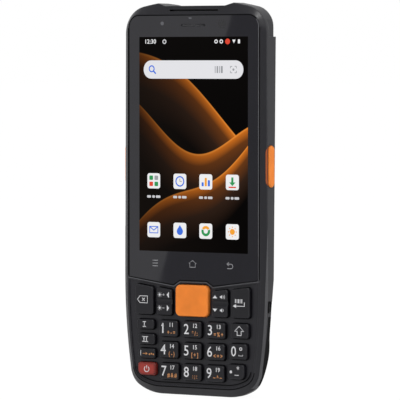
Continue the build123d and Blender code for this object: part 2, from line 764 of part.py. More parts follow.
def bay_block():
    """Frame inside the rear shell that the battery, its cover and its latch sit in."""
    half = BAY_HALF + BAY_WALL
    depths = (BAY_FACE - BAY_FLOOR, THICKNESS)
    return block((-half, half), depths, (COVER_LOW - BAY_MARGIN_LOW, COVER_TOP + BAY_MARGIN_TOP))


def bay_core():
    """Hollow under the latch shelf, open to the inside of the shell."""
    half = BAY_HALF + BAY_WALL - WALL
    depths = (BAY_FACE - BAY_FLOOR - 1, SHELF_DEPTH - BAY_WALL)
    low = COVER_LOW - BAY_MARGIN_LOW + BAY_WALL
    return block((-half, half), depths, (low, BAY_LOW - BAY_WALL))


def bay_cuts():
    battery = block((-BAY_HALF, BAY_HALF), (BAY_FACE, THICKNESS + 1), (BAY_LOW, BAY_TOP))
    latch_half = LATCH_HALF + RAIL_WALL + 2 * LATCH_GAP + 0.5
    latch_low = COVER_LOW + RAIL_START - 1
    latch = block((-latch_half, latch_half), (SHELF_DEPTH, THICKNESS), (latch_low, BAY_LOW + 0.1))
    keep_half = LATCH_HALF + 0.3
    keeper_z = (COVER_LOW - KEEPER_REACH, BAY_LOW)
    keeper = block((-keep_half, keep_half), (LATCH_FACE - 0.2, COVER_FACE), keeper_z)
    recess = slab(cover_face(COVER_GAP), COVER_SEAT, THICKNESS + 1)
    sweep = TONGUE_REACH * sin(radians(COVER_SWING)) + 0.3
    return [battery, latch, keeper, recess, tongues(0.12, sweep), bay_core()]


def inner_posts():
    """Screw bosses, the ribs behind the side buttons and the main board's pillars."""
    bosses = [disc(x, z, BOSS_RADIUS, LEDGE_BACK + 1, THICKNESS) for x, z in screw_places()]
    rib_x = rib_face_x()
    half = BUTTON_LENGTH / 2
    rib_z = (BUTTON_Z - half, BUTTON_Z + half)
    rib = block((rib_x - RIB_THICK, rib_x), (MAIN_DEPTH, THICKNESS), rib_z)
    pillars = [disc(x, z, PILLAR_RADIUS, MAIN_BACK, BAY_FACE) for x, z in board_screw_places()]
    return bosses + [rib, rib.mirror(Plane.YZ)] + pillars


def rib_face_x():
    """Face of the rib that a side switch stands on."""
    return flange_back_x() - BUTTON_TRAVEL - CLEAR - SWITCH_BODY - SWITCH_BOARD


def main_half():
    """Half width of the main board, which fits between the ribs of the side buttons."""
    return rib_face_x() - RIB_THICK - MAIN_GAP


def board_screw_places():
    x = main_half() - BOARD_SCREW_RIM
    heights = (MAIN_LOW + BOARD_SCREW_LOW, MAIN_LOW + BOARD_SCREW_HIGH)
    return [(side * x, z) for side in (-1, 1) for z in heights]


def rear_housing():
    skin = rear_body(0, SEAM, THICKNESS)
    solid = skin - rear_body(WALL, SEAM - 0.5, INNER_BACK)
    for extra in [bay_block(), both_sides(strap_block()), *inner_posts()]:
        solid += extra & skin
    for cut in [*bay_cuts(), *side_cuts(), *screw_cuts(), *back_cuts()]:
        solid -= cut
    for cut in [seal_ring(0.0), scanner_cut(), usb_opening()]:
        solid -= cut
    return solid


def side_cuts():
    button = side_bar(button_face(CLEAR), flange_back_x() - CLEAR, HALF_WAIST + 5)
    return [both_sides(strap_tunnel()), both_sides(button)]


def screw_cuts():
    """Holes for the housing screws and their heads, and pilot holes for the board screws."""
    cuts = []
    for x, z in screw_places():
        cuts.append(disc(x, z, SCREW_RADIUS + CLEAR, LEDGE_BACK, THICKNESS))
        cuts.append(disc(x, z, HEAD_RADIUS + CLEAR, HEAD_FACE, THICKNESS + 1))
    for x, z in board_screw_places():
        cuts.append(disc(x, z, SCREW_RADIUS, MAIN_BACK, BAY_FACE - 0.5))
    return cuts


def back_cuts():
    """Openings in the back face: camera and its window, flash, speaker grille and contacts."""
    near, far = INNER_BACK - 1, THICKNESS + 1
    cuts = [
        disc(0, REAR_CAMERA_Z, REAR_CAMERA_RADIUS + CLEAR, near, far),
        disc(0, REAR_CAMERA_Z, REAR_WINDOW_RADIUS + CLEAR, THICKNESS - REAR_WINDOW_SEAT, far),
        disc(FLASH_X, REAR_CAMERA_Z, FLASH_RADIUS + CLEAR, near, far),
        grille(),
    ]
    return cuts + [disc(x, PIN_Z, PIN_RADIUS + CLEAR, near, far) for x in pin_places()]


def scanner_cut():
    """Stepped opening in the top edge for the scanner's window."""
    seat = DIP_Z - WINDOW_SUNK - WINDOW_THICK
    sky = EAR_Z + 5
    pocket_half = WINDOW_HALF + CLEAR
    pocket_depths = (WINDOW_NEAR - CLEAR, WINDOW_FAR + CLEAR)
    pocket = block((-pocket_half, pocket_half), pocket_depths, (seat, sky))
    half = WINDOW_HALF - WINDOW_LEDGE
    depths = (WINDOW_NEAR + WINDOW_LEDGE, WINDOW_FAR - WINDOW_LEDGE)
    return pocket + block((-half, half), depths, (ENGINE_TOP, sky))


def grille():
    holes = []
    for i in range(GRILLE_COLUMNS):
        for j in range(GRILLE_ROWS):
            x = SPEAKER_X + (i - (GRILLE_COLUMNS - 1) / 2) * GRILLE_PITCH
            z = SPEAKER_Z + (j - (GRILLE_ROWS - 1) / 2) * GRILLE_PITCH
            holes.append(disc(x, z, GRILLE_RADIUS, INNER_BACK - 1, THICKNESS + 1))
    return Compound(holes)


def usb_depth():
    return KEYPAD_BOARD_BACK + USB_HEIGHT / 2


def usb_face(grow=0.0):
    radius = USB_HEIGHT / 2 + grow - 0.01
    shape = RectangleRounded(USB_WIDTH + 2 * grow, USB_HEIGHT + 2 * grow, radius)
    return Pos(0, FRONT_Y + usb_depth()) * shape


def usb_opening():
    return extrude(Pos(0, 0, -1) * usb_face(CLEAR), amount=WALL + 3)


def pin_places():
    return [(i - (PIN_COUNT - 1) / 2) * PIN_PITCH for i in range(PIN_COUNT)]


def seal_ring(trim):
    outer = inner_outline(SEAL_INSET + trim)
    inner = inner_outline(SEAL_INSET + SEAL_WIDTH - trim)
    return slab(outer - inner, SEAM, SEAM + SEAL_THICK)


# ---- cover, latch and battery


def battery_cover():
    """The cover's plate with its tongues, the dished slot for the latch pad and two rails."""
    solid = rear_body(0, COVER_FACE, THICKNESS) & slab(cover_face(), COVER_FACE, THICKNESS)
    solid += tongues()
    pad_low = COVER_LOW + PAD_START
    path = PAD_LENGTH + LATCH_TRAVEL
    dish_half = PAD_HALF + PAD_MARGIN
    dish = rounded(0, pad_low + path / 2, 2 * dish_half, path + 2 * PAD_MARGIN, PAD_MARGIN)
    solid -= slab(dish, THICKNESS - PAD_DISH, THICKNESS + 1)
    slot_half = PAD_HALF - 1 + LATCH_GAP
    slot_z = (pad_low - LATCH_GAP, pad_low + path + LATCH_GAP)
    solid -= block((-slot_half, slot_half), (COVER_FACE - 1, THICKNESS + 1), slot_z)
    return solid + both_sides(latch_rail())


def latch_rail():
    """Hooked rail under the cover that carries one edge of the latch."""
    wall_in = LATCH_HALF + LATCH_GAP
    low = COVER_LOW + RAIL_START
    heights = (low, low + RAIL_LENGTH)
    wall = block((wall_in, wall_in + RAIL_WALL), (RAIL_DEPTH, COVER_FACE), heights)
    hook = block((wall_in - RAIL_HOOK, wall_in), (RAIL_DEPTH, RAIL_DEPTH + RAIL_HOOK), heights)
    return wall + hook


def cover_latch():
    """Sliding latch, drawn back: the plate under the cover and the ridged thumb pad outside."""
    low = COVER_LOW + LATCH_START
    plate_depths = (LATCH_FACE, COVER_FACE - LATCH_GAP)
    plate = block((-LATCH_HALF, LATCH_HALF), plate_depths, (low, low + LATCH_LENGTH))
    pad_low = COVER_LOW + PAD_START + LATCH_TRAVEL
    pad_half = PAD_HALF - 1
    pad_depths = (COVER_FACE - LATCH_GAP, THICKNESS - 0.1)
    pad = block((-pad_half, pad_half), pad_depths, (pad_low, pad_low + PAD_LENGTH))
    for i in range(3):
        groove_z = pad_low + PAD_LENGTH * (i + 1) / 4
        pad -= Pos(0, FRONT_Y + THICKNESS, groove_z) * Rot(0, 90, 0) * Cylinder(0.4, 2 * PAD_HALF)
    return plate + pad


def battery_pack():
    low, high = BAY_LOW + BATTERY_GAP, BAY_TOP - CONTACT_LENGTH - BATTERY_GAP
    face = rounded(0, (low + high) / 2, 2 * (BAY_HALF - BATTERY_GAP), high - low, 1.5)
    near = BAY_FACE + 0.1
    pack = slab(face, near, near + BATTERY_THICK)
    edges = pack.edges().filter_by(GeomType.LINE).filter_by(Axis.Z)
    return chamfer(edges.group_by(Axis.Y)[-1], 0.6)


def battery_contacts():
    """Spring block at the top of the bay: a moulded body with four leaf contacts."""
    low = BAY_TOP - CONTACT_LENGTH
    body = block((-CONTACT_HALF, CONTACT_HALF), (BAY_FACE + 1, BAY_FACE + 4), (low + 0.9, BAY_TOP))
    for i in range(4):
        x = (i - 1.5) * CONTACT_PITCH
        leaf_z = (low + 0.1, BAY_TOP - 1)
        body += block((x - 0.5, x + 0.5), (BAY_FACE + 1.6, BAY_FACE + 3.4), leaf_z)
    return body


# ---- electronics and small parts


def display_gasket():
    ring = glass_face(-2 * TAPE)
    half = DISPLAY_HALF + DISPLAY_CLEAR + 0.2
    low, high = DISPLAY_LOW - 0.4, EARPIECE_Z + 2.6
    hole = rounded(0, (low + high) / 2, 2 * half, high - low, GLASS_CORNER - 1)
    return slab(ring - hole, GLASS_THICK, LEDGE_FACE)


def cover_glass():
    glass = slab(glass_face(), 0, GLASS_THICK)
    slot = rounded(0, EARPIECE_Z, EARPIECE_WIDTH, EARPIECE_HEIGHT, EARPIECE_HEIGHT / 2 - 0.01)
    return glass - slab(slot, -1, GLASS_THICK + 1)


def earpiece_mesh():
    slot = rounded(0, EARPIECE_Z, EARPIECE_WIDTH - 0.1, EARPIECE_HEIGHT - 0.1, EARPIECE_HEIGHT / 2 - 0.1)
    return slab(slot, 0.35, GLASS_THICK)


def display_module():
    """Liquid-crystal cell on its backlight tray."""
    low, high, half = DISPLAY_LOW, DISPLAY_TOP, DISPLAY_HALF
    cell = block((-half, half), (GLASS_THICK + 0.1, GLASS_THICK + 1.0), (low + 4, high))
    tray = block((-half, half), (GLASS_THICK + 1.0, GLASS_THICK + 0.1 + DISPLAY_THICK), (low, high))
    return cell + tray


def key_mat():
    """Silicone mat with a raised pad under every key and a pocket over every dome."""
    middle = (MAT_LOW_Z + KEYPAD_TOP_Z) / 2
    sheet = rounded(0, middle, 2 * KEYPAD_HALF, KEYPAD_TOP_Z - MAT_LOW_Z, 4.0)
    mat = slab(sheet & inner_outline(WALL + MAT_MARGIN), MAT_FACE + MAT_BOSS, MAT_BACK)
    for x, z in dome_places():
        mat += slab(Pos(x, z) * Rectangle(MAT_BOSS_WIDTH, MAT_BOSS_HEIGHT), MAT_FACE, MAT_FACE + MAT_BOSS)
    for x, z in dome_places():
        mat -= disc(x, z, DOME_RADIUS + 0.1, MAT_BACK - DOME_THICK - 0.1, MAT_BACK + 1)
    return mat


def dome_places():
    """One dome behind each key, and two behind each rocker."""
    centres = [face.bounding_box().center() for face in key_faces().values()]
    places = [(centre.X, centre.Y) for centre in centres]
    for face in rocker_faces().values():
        centre = face.bounding_box().center()
        places += [(centre.X, centre.Y + ROCKER_DOME), (centre.X, centre.Y - ROCKER_DOME)]
    return places


def key_domes():
    domes = []
    sitting = (Align.CENTER, Align.CENTER, Align.MIN)
    for x, z in dome_places():
        cone = Cone(DOME_RADIUS, DOME_RADIUS * 0.6, DOME_THICK, align=sitting)
        domes.append(Plane(origin=(x, FRONT_Y + MAT_BACK, z), z_dir=(0, -1, 0)) * cone)
    return Compound(domes)


def keypad_board():
    middle = (MAT_LOW_Z + KEYPAD_TOP_Z) / 2
    sheet = rounded(0, middle, 2 * KEYPAD_HALF, KEYPAD_TOP_Z - MAT_LOW_Z, 4.0)
    return slab(sheet & inner_outline(WALL + MAT_MARGIN), MAT_BACK, KEYPAD_BOARD_BACK)


def main_board():
    half, top = main_half(), ENGINE_LOW - MAIN_TOP_GAP
    board = block((-half, half), (MAIN_DEPTH, MAIN_BACK), (MAIN_LOW, top))
    for x, z in board_screw_places():
        board -= disc(x, z, SCREW_RADIUS + CLEAR, MAIN_DEPTH - 1, MAIN_BACK + 1)
    for x in (-half, half):
        for z in (MAIN_LOW, top):
            notch = Pos(x, z) * Rectangle(2 * BOARD_NOTCH, 2 * BOARD_NOTCH)
            board -= slab(notch, MAIN_DEPTH - 1, MAIN_BACK + 1)
    return board


def shield_cans():
    """Pressed covers over the processor, radio and power sections."""
    cans = []
    for x0, x1, z0, z1 in SHIELD_CANS:
        face = rounded((x0 + x1) / 2, (z0 + z1) / 2, x1 - x0, z1 - z0, 1.2)
        can = slab(face, MAIN_BACK, MAIN_BACK + CAN_HEIGHT)
        rim = can.faces().sort_by(Axis.Y)[-1].edges()
        cans.append(chamfer(rim, 0.3))
    return Compound(cans)


def scan_engine():
    """Imager block looking up through the window: body, lens barrel and two lamps."""
    depths = (ENGINE_DEPTH, INNER_BACK - 0.3)
    body = block((-ENGINE_HALF, ENGINE_HALF), depths, (ENGINE_LOW, ENGINE_TOP))
    middle = FRONT_Y + (ENGINE_DEPTH + INNER_BACK) / 2
    body += Pos(0, middle, ENGINE_TOP + 0.5) * Cylinder(LENS_RADIUS, 1.0)
    body -= Pos(0, middle, ENGINE_TOP + 1.0) * Cylinder(LENS_RADIUS - 1, 1.2)
    for x in (-LAMP_X, LAMP_X):
        body += Pos(x, middle, ENGINE_TOP + 0.4) * Cylinder(LAMP_RADIUS, 0.8)
    return body


def scanner_window():
    seat = DIP_Z - WINDOW_SUNK - WINDOW_THICK
    return block((-WINDOW_HALF, WINDOW_HALF), (WINDOW_NEAR, WINDOW_FAR), (seat, seat + WINDOW_THICK))


def front_camera():
    barrel = disc(CAMERA_X, CAMERA_Z, CAMERA_RADIUS, GLASS_THICK + 0.3, GLASS_THICK + 3.4)
    return barrel - disc(CAMERA_X, CAMERA_Z, 1.2, GLASS_THICK, GLASS_THICK + 0.9)


def earpiece_receiver():
    heights = (DISPLAY_TOP + 0.7, EARPIECE_Z + 2.2)
    return block((-RECEIVER_HALF, RECEIVER_HALF), (GLASS_THICK + 0.1, MAIN_DEPTH), heights)


def status_led():
    """Light pipe from the main board's corner lamp to the glass."""
    pipe = disc(LED_X, LED_Z, LED_RADIUS, GLASS_THICK + 0.05, LEDGE_BACK + 0.7)
    return pipe + disc(LED_X, LED_Z, LED_RADIUS + 0.6, LEDGE_BACK + 0.1, LEDGE_BACK + 0.7)


def side_switches():
    """A small switch board with its push switch on each rib."""
    board_x = rib_face_x()
    body_x = board_x + SWITCH_BOARD
    half = BUTTON_LENGTH / 2 - 2
    board_z = (BUTTON_Z - half, BUTTON_Z + half)
    body_z = (BUTTON_Z - 2.5, BUTTON_Z + 2.5)
    board = block((board_x, body_x), (MAIN_DEPTH, BUTTON_DEPTH + 2.2), board_z)
    body = block((body_x, body_x + SWITCH_BODY), (MAIN_DEPTH, BUTTON_DEPTH + 1.6), body_z)
    switch = board + body
    return Compound([switch, switch.mirror(Plane.YZ)])


def rear_camera():
    seat = THICKNESS - REAR_WINDOW_SEAT
    barrel = disc(0, REAR_CAMERA_Z, REAR_CAMERA_RADIUS, INNER_BACK - 2, seat)
    base = Pos(0, REAR_CAMERA_Z) * Rectangle(2 * REAR_CAMERA_BASE, 2 * REAR_CAMERA_BASE)
    barrel += slab(base, MAIN_BACK, INNER_BACK - 1.6)
    return barrel - disc(0, REAR_CAMERA_Z, REAR_LENS_RADIUS, seat - 1.2, seat + 1)


def camera_window():
    seat = THICKNESS - REAR_WINDOW_SEAT
    return disc(0, REAR_CAMERA_Z, REAR_WINDOW_RADIUS, seat, THICKNESS - 0.1)


def flash_led():
    return disc(FLASH_X, REAR_CAMERA_Z, FLASH_RADIUS, INNER_BACK - 0.4, THICKNESS - 0.15)


def loudspeaker():
    box = Pos(SPEAKER_X, SPEAKER_Z) * Rectangle(2 * SPEAKER_HALF, SPEAKER_HEIGHT)
    return slab(box, INNER_BACK - SPEAKER_THICK, INNER_BACK)


def usb_connector():
    """Pressed metal shell, open at the foot, round the contact tongue."""
    shell = extrude(Pos(0, 0, USB_SUNK) * usb_face(), amount=USB_LENGTH)
    mouth = extrude(Pos(0, 0, USB_SUNK) * usb_face(-USB_SHELL), amount=USB_LENGTH - 1)
    tongue_depths = (usb_depth() - USB_SHELL, usb_depth() + USB_SHELL)
    tongue_half = USB_WIDTH / 2 - 1.2
    tongue_z = (USB_SUNK + 0.8, USB_SUNK + USB_LENGTH)
    return shell - mouth + block((-tongue_half, tongue_half), tongue_depths, tongue_z)


def charging_contacts():
    depths = (INNER_BACK - 0.6, THICKNESS - 0.15)
    return Compound([disc(x, PIN_Z, PIN_RADIUS, *depths) for x in pin_places()])


def vibration_motor():
    return disc(MOTOR_X, MOTOR_Z, MOTOR_RADIUS, KEYPAD_BOARD_BACK, KEYPAD_BOARD_BACK + MOTOR_THICK)


def housing_screws():
    """Pan-head screws driven from the back through the bosses into the front frame."""
    screws = []
    for x, z in screw_places():
        head = disc(x, z, HEAD_RADIUS, HEAD_FACE, HEAD_FACE + HEAD_THICK)
        socket = Pos(x, z) * RegularPolygon(HEAD_RADIUS / 2, 6)
        head -= slab(socket, HEAD_FACE + 0.5, THICKNESS)
        screws.append(head + disc(x, z, SCREW_RADIUS - 0.02, SEAM + 0.3, HEAD_FACE))
    return Compound(screws)


def board_screws():
    screws = []
    for x, z in board_screw_places():
        head = disc(x, z, HEAD_RADIUS, MAIN_DEPTH - 0.6, MAIN_DEPTH)
        screws.append(head + disc(x, z, SCREW_RADIUS - 0.02, MAIN_DEPTH, BAY_FACE - 0.7))
    return Compound(screws)


def parts():
    pieces = {
        "front_housing": front_housing(),
        "rear_housing": rear_housing(),
        "cover_glass": cover_glass(),
        "display_module": display_module(),
        "display_gasket": display_gasket(),
        "earpiece_mesh": earpiece_mesh(),
        "earpiece_receiver": earpiece_receiver(),
        "front_camera": front_camera(),
        "status_led": status_led(),
        "keypad_mat": key_mat(),
        "key_domes": key_domes(),
        "keypad_board": keypad_board(),
        "scan_button_right": side_button(1),
        "scan_button_left": side_button(-1),
        "side_switches": side_switches(),
        "main_board": main_board(),
        "shield_cans": shield_cans(),
        "scan_engine": scan_engine(),
        "scanner_window": scanner_window(),
        "battery_pack": battery_pack(),
        "battery_contacts": battery_contacts(),
        "battery_cover": battery_cover(),
        "cover_latch": cover_latch(),
        "rear_camera": rear_camera(),
        "camera_window": camera_window(),
        "flash_led": flash_led(),
        "loudspeaker": loudspeaker(),
        "usb_connector": usb_connector(),
        "charging_contacts": charging_contacts(),
        "vibration_motor": vibration_motor(),
        "housing_screws": housing_screws(),
        "board_screws": board_screws(),
        "housing_seal": seal_ring(0.05),
    }
    for name, face in key_faces().items():
        pieces[name] = cap(face, SCAN_PROUD if name == "key_scan" else KEY_PROUD, FLANGE_GAP)
    for name, face in rocker_faces().items():
        pieces[name] = rocker_cap(face)
    return pieces


os.makedirs("parts", exist_ok=True)
for node, shape in parts().items():
    export_step(shape, f"parts/{node}.step")
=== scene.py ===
import json
import math

import bmesh
import bpy
from mathutils import Matrix, Vector


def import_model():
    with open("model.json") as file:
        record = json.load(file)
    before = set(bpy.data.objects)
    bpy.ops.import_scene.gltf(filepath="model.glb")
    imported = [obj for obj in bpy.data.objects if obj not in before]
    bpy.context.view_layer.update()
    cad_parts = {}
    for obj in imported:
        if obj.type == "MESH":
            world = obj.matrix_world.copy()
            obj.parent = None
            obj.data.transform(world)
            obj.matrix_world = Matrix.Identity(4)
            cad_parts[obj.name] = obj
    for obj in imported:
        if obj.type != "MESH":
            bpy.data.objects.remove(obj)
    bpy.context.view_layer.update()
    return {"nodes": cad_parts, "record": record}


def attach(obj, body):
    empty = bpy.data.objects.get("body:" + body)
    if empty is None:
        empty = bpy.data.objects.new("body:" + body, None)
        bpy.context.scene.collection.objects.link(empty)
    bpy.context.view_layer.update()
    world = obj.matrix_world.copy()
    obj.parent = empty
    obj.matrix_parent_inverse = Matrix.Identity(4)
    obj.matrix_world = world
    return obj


# Looks of a hand-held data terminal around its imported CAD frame.
# Sizes are in millimetres, in the row frame: X right, Y back, Z up. A depth is counted back
# from the glass face. Only the lamps are placed in metres.

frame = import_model()

MM = 0.001
NODES = frame["nodes"]

# The two faces that are printed on: the glass, level with the front frame, and the key tops.
GLASS_Y = -7.5
KEY_RISE = 1.3
KEY_Y = GLASS_Y - KEY_RISE

# Thickness of each print, how far a side skin stands out and reaches in, and its widest column.
PRINT_THICK = 0.03
SCREEN_THICK = 0.02
SIGN_THICK = 0.015
MARK_THICK = 0.012
GROOVE_SHADE_THICK = 0.02
SKIN_PROUD = 0.05
SKIN_SUNK = 0.2
SKIN_STEP = 0.3

# The lit area, and what stands on it.
SCREEN_X = 26.15
SCREEN_LOW = 58.25
SCREEN_HIGH = 145.35
SCREEN_PIXELS = 480
STATUS_Z = 143.4
SEARCH_Z = 132.1
LABEL_Z = 80.4
ICON_COLUMNS = (-19.1, -6.4, 6.1, 18.8)
ICON_ROWS = (86.8, 66.9)
ICON_TILE = 6.2

# Marks below and above the display.
TOUCH_SIGN_Z = 53.3
CAMERA_RING = (13.8, 150.4)
LIGHT_SENSOR = (-15.0, 150.8)
NEAR_SENSOR = (-1.5, 152.9)

# Keys and side buttons.
DIGIT_TOP_Z = 26.9
DIGIT_STEP_X = 11.4
DIGIT_STEP_Z = 8.7
DIGIT_CLOSING = 0.22
ROCKER_UPPER_Z = 40.6
ROCKER_LOWER_Z = 35.2
BUTTON_Z = 93.3
BUTTON_DEPTH = 4.4


# ---------------------------------------------------------------- node helpers


def feed(tree, socket, source):
    """Links a socket to another one, or sets it to a number or a colour."""
    if isinstance(source, bpy.types.NodeSocket):
        tree.links.new(source, socket)
    else:
        socket.default_value = (*source, 1.0) if isinstance(source, tuple) else source


def add_node(tree, kind, *sources, **settings):
    """A new shader node with its first inputs fed in order."""
    made = tree.nodes.new("ShaderNode" + kind)
    for key, value in settings.items():
        setattr(made, key, value)
    for socket, source in zip(made.inputs, sources):
        feed(tree, socket, source)
    return made


class Shader:
    """A material's node tree, with short calls for the nodes that the finishes share."""

    def __init__(self, name):
        self.material = bpy.data.materials.new(name)
        self.material.use_nodes = True
        self.tree = self.material.node_tree
        self.tree.nodes.clear()
        self.output = self.node("OutputMaterial")
        self.surface = self.node("BsdfPrincipled")
        self.show(self.surface.outputs["BSDF"])
        self.place = self.node("TexCoord").outputs["Object"]

    def node(self, kind, *sources, **settings):
        return add_node(self.tree, kind, *sources, **settings)

    def show(self, shader):
        """Makes a shader the one that the material shows."""
        feed(self.tree, self.output.inputs["Surface"], shader)

    def put(self, **values):
        """Sets the main shader's sockets, written as their names with underscores."""
        for key, value in values.items():
            feed(self.tree, self.surface.inputs[key.replace("_", " ")], value)

    def math(self, operation, *values):
        return self.node("Math", *values, operation=operation).outputs[0]

    def axes(self):
        return tuple(self.node("SeparateXYZ", self.place).outputs)

    def ripple(self, axis, pitch_mm):
        """A sine wave along one axis, from -1 to 1."""
        return self.math("SINE", self.math("MULTIPLY", axis, 2 * math.pi / (pitch_mm * MM)))

    def noise(self, size_mm, detail=2.0, rough=0.5, vector=None):
        made = self.node("TexNoise")
        feed(self.tree, made.inputs["Vector"], vector or self.place)
        made.inputs["Scale"].default_value = 1.0 / (size_mm * MM)
        made.inputs["Detail"].default_value = detail
        made.inputs["Roughness"].default_value = rough
        return made.outputs["Fac"]

    def cells(self, size_mm):
        made = self.node("TexVoronoi")
        feed(self.tree, made.inputs["Vector"], self.place)
        made.inputs["Scale"].default_value = 1.0 / (size_mm * MM)
        return made.outputs["Distance"]

    def spread(self, value, low, high, to_low, to_high):
        """Maps one range to another, held at its ends."""
        return self.node("MapRange", value, low, high, to_low, to_high, clamp=True).outputs[0]

    def ramp(self, value, stops):
        made = self.node("ValToRGB", value)
        elements = made.color_ramp.elements
        while len(elements) < len(stops):
            elements.new(0.5)
        for element, (position, colour) in zip(elements, stops):
            element.position = position
            element.color = (*colour, 1.0)
        return made.outputs[0]

    def uneven(self, noise, low, high):
        """A number that drifts between two values with a noise."""
        return self.spread(noise, 0.3, 0.7, low, high)

    def cloudy(self, noise, dark, light):
        """A colour that drifts between two tones with a noise."""
        return self.ramp(noise, [(0.3, dark), (0.7, light)])

    def mix(self, share, first, second, blend="MIX"):
        made = self.node("Mix", share, data_type="RGBA", blend_type=blend)
        first_colour, second_colour = made.inputs[6], made.inputs[7]
        feed(self.tree, first_colour, first)
        feed(self.tree, second_colour, second)
        return made.outputs[2]

    def bump(self, height, depth_mm, base=None):
        """Raises the main shader's surface, from a rounded normal where one is given."""
        made = self.node("Bump")
        made.inputs["Distance"].default_value = depth_mm * MM
        feed(self.tree, made.inputs["Height"], height)
        if base is not None:
            feed(self.tree, made.inputs["Normal"], base)
        self.put(Normal=made.outputs[0])

    def soft_edges(self, radius_mm):
        return self.node("Bevel", radius_mm * MM, samples=4).outputs[0]

    def edge_mask(self, rounded):
        """1 on an edge, 0 on a flat, from how far the rounded normal leaves the face's own."""
        face = self.node("NewGeometry").outputs["Normal"]
        dot = self.node("VectorMath", rounded, face, operation="DOT_PRODUCT")
        return self.spread(dot.outputs["Value"], 0.995, 0.9, 0.0, 1.0)


def shade(colour, share):
    """A colour made darker or lighter."""
    return tuple(c * share for c in colour)


# ---------------------------------------------------------------- finishes


def moulded(name, colour, roughness, grain_mm=0.16, grain_depth=0.012,
            specular=0.3, edge_radius=0.25, worn_and_shaded_edge_share=0.35, worn_and_shaded_edge_colour=None):
    """Moulded plastic: fine spark-eroded grain, cloudy tone, and edges a little smoother that take
    another tone, partly wear and partly painted shading of the rounded edges.
    """
    s = Shader(name)
    rounded = s.soft_edges(edge_radius)
    edge = s.edge_mask(rounded)
    grain = s.noise(grain_mm, detail=3.0, rough=0.6)
    speck = s.cells(grain_mm * 2.2)
    tone = s.cloudy(s.noise(14.0, detail=3.0), shade(colour, 0.86), shade(colour, 1.14))
    # Edge tone is partly wear and partly painted shading of the rounded edges: a painted highlight where
    # the edge colour is lighter, painted shade where it is darker, as on the red key.
    worn_and_shaded_edge_colour = worn_and_shaded_edge_colour or tuple(min(1.0, c * 1.5 + 0.006) for c in colour)
    tone = s.mix(s.math("MULTIPLY", edge, worn_and_shaded_edge_share), tone, worn_and_shaded_edge_colour)
    pits = s.ramp(s.spread(speck, 0.1, 0.6, 0.9, 1.05), [(0.0, (0.88,) * 3), (1.0, (1.0,) * 3)])
    tone = s.mix(1.0, tone, pits, "MULTIPLY")
    matt = s.uneven(grain, roughness - 0.05, roughness + 0.06)
    matt = s.math("SUBTRACT", matt, s.math("MULTIPLY", edge, 0.08))
    s.put(Base_Color=tone, Roughness=matt, Specular_IOR_Level=specular)
    s.bump(s.math("ADD", grain, s.math("MULTIPLY", speck, 0.5)), grain_depth, rounded)
    return s.material


def metal(name, colour, roughness, brushed_axis=0):
    """Pressed or turned metal with fine drawn lines and faint dull patches."""
    s = Shader(name)
    drawn = [s.math("MULTIPLY", axis, 0.06 if index == brushed_axis else 1.0)
             for index, axis in enumerate(s.axes())]
    lines = s.noise(0.12, vector=s.node("CombineXYZ", *drawn).outputs[0])
    s.put(Base_Color=s.ramp(s.noise(3.0), [(0.35, shade(colour, 0.8)), (0.65, colour)]))
    s.put(Roughness=s.uneven(lines, roughness - 0.06, roughness + 0.08), Metallic=1.0)
    s.bump(lines, 0.004)
    return s.material


def rubbery(name, colour, specular=0.5):
    """Dull rubber or tape with a fine grain."""
    s = Shader(name)
    grain = s.noise(0.18, detail=3.0, rough=0.65)
    s.put(Base_Color=s.cloudy(s.noise(6.0), shade(colour, 0.8), colour))
    s.put(Roughness=s.uneven(grain, 0.62, 0.8), Specular_IOR_Level=specular)
    s.bump(grain, 0.01)
    return s.material


def glass_border(name):
    """Back-printed cover glass: near-black ink under a hard, slightly smeared surface."""
    s = Shader(name)
    smear = s.noise(22.0, detail=4.0, rough=0.6)
    dust = s.math("MULTIPLY", s.spread(s.noise(0.35), 0.72, 0.8, 0.0, 1.0), 0.25)
    black = s.cloudy(s.noise(9.0), (0.0048, 0.0044, 0.0088), (0.0062, 0.0058, 0.0108))
    s.put(Base_Color=s.mix(dust, black, (0.03, 0.03, 0.032)))
    s.put(Roughness=s.spread(smear, 0.3, 0.75, 0.02, 0.05), Specular_IOR_Level=0.5)
    s.bump(smear, 0.002)
    return s.material


def pixel_grid(s):
    """Fine columns and rows of the panel's pixels, as a brightness from 0.9 to 1."""
    x, _, z = s.axes()
    pitch = 2 * SCREEN_X / SCREEN_PIXELS
    both = s.math("MULTIPLY", s.ripple(x, pitch), s.ripple(z, pitch))
    return s.spread(both, -1.0, 1.0, 0.9, 1.0)


def lit(name, colour):
    """A lit sign on the display, seen through the panel's fine pixel grid."""
    s = Shader(name)
    glow = s.mix(pixel_grid(s), shade(colour, 0.9), colour)
    s.put(Base_Color=(0.004, 0.004, 0.004), Roughness=0.35, Specular_IOR_Level=0.03)
    s.put(Emission_Color=glow, Emission_Strength=1.0)
    return s.material


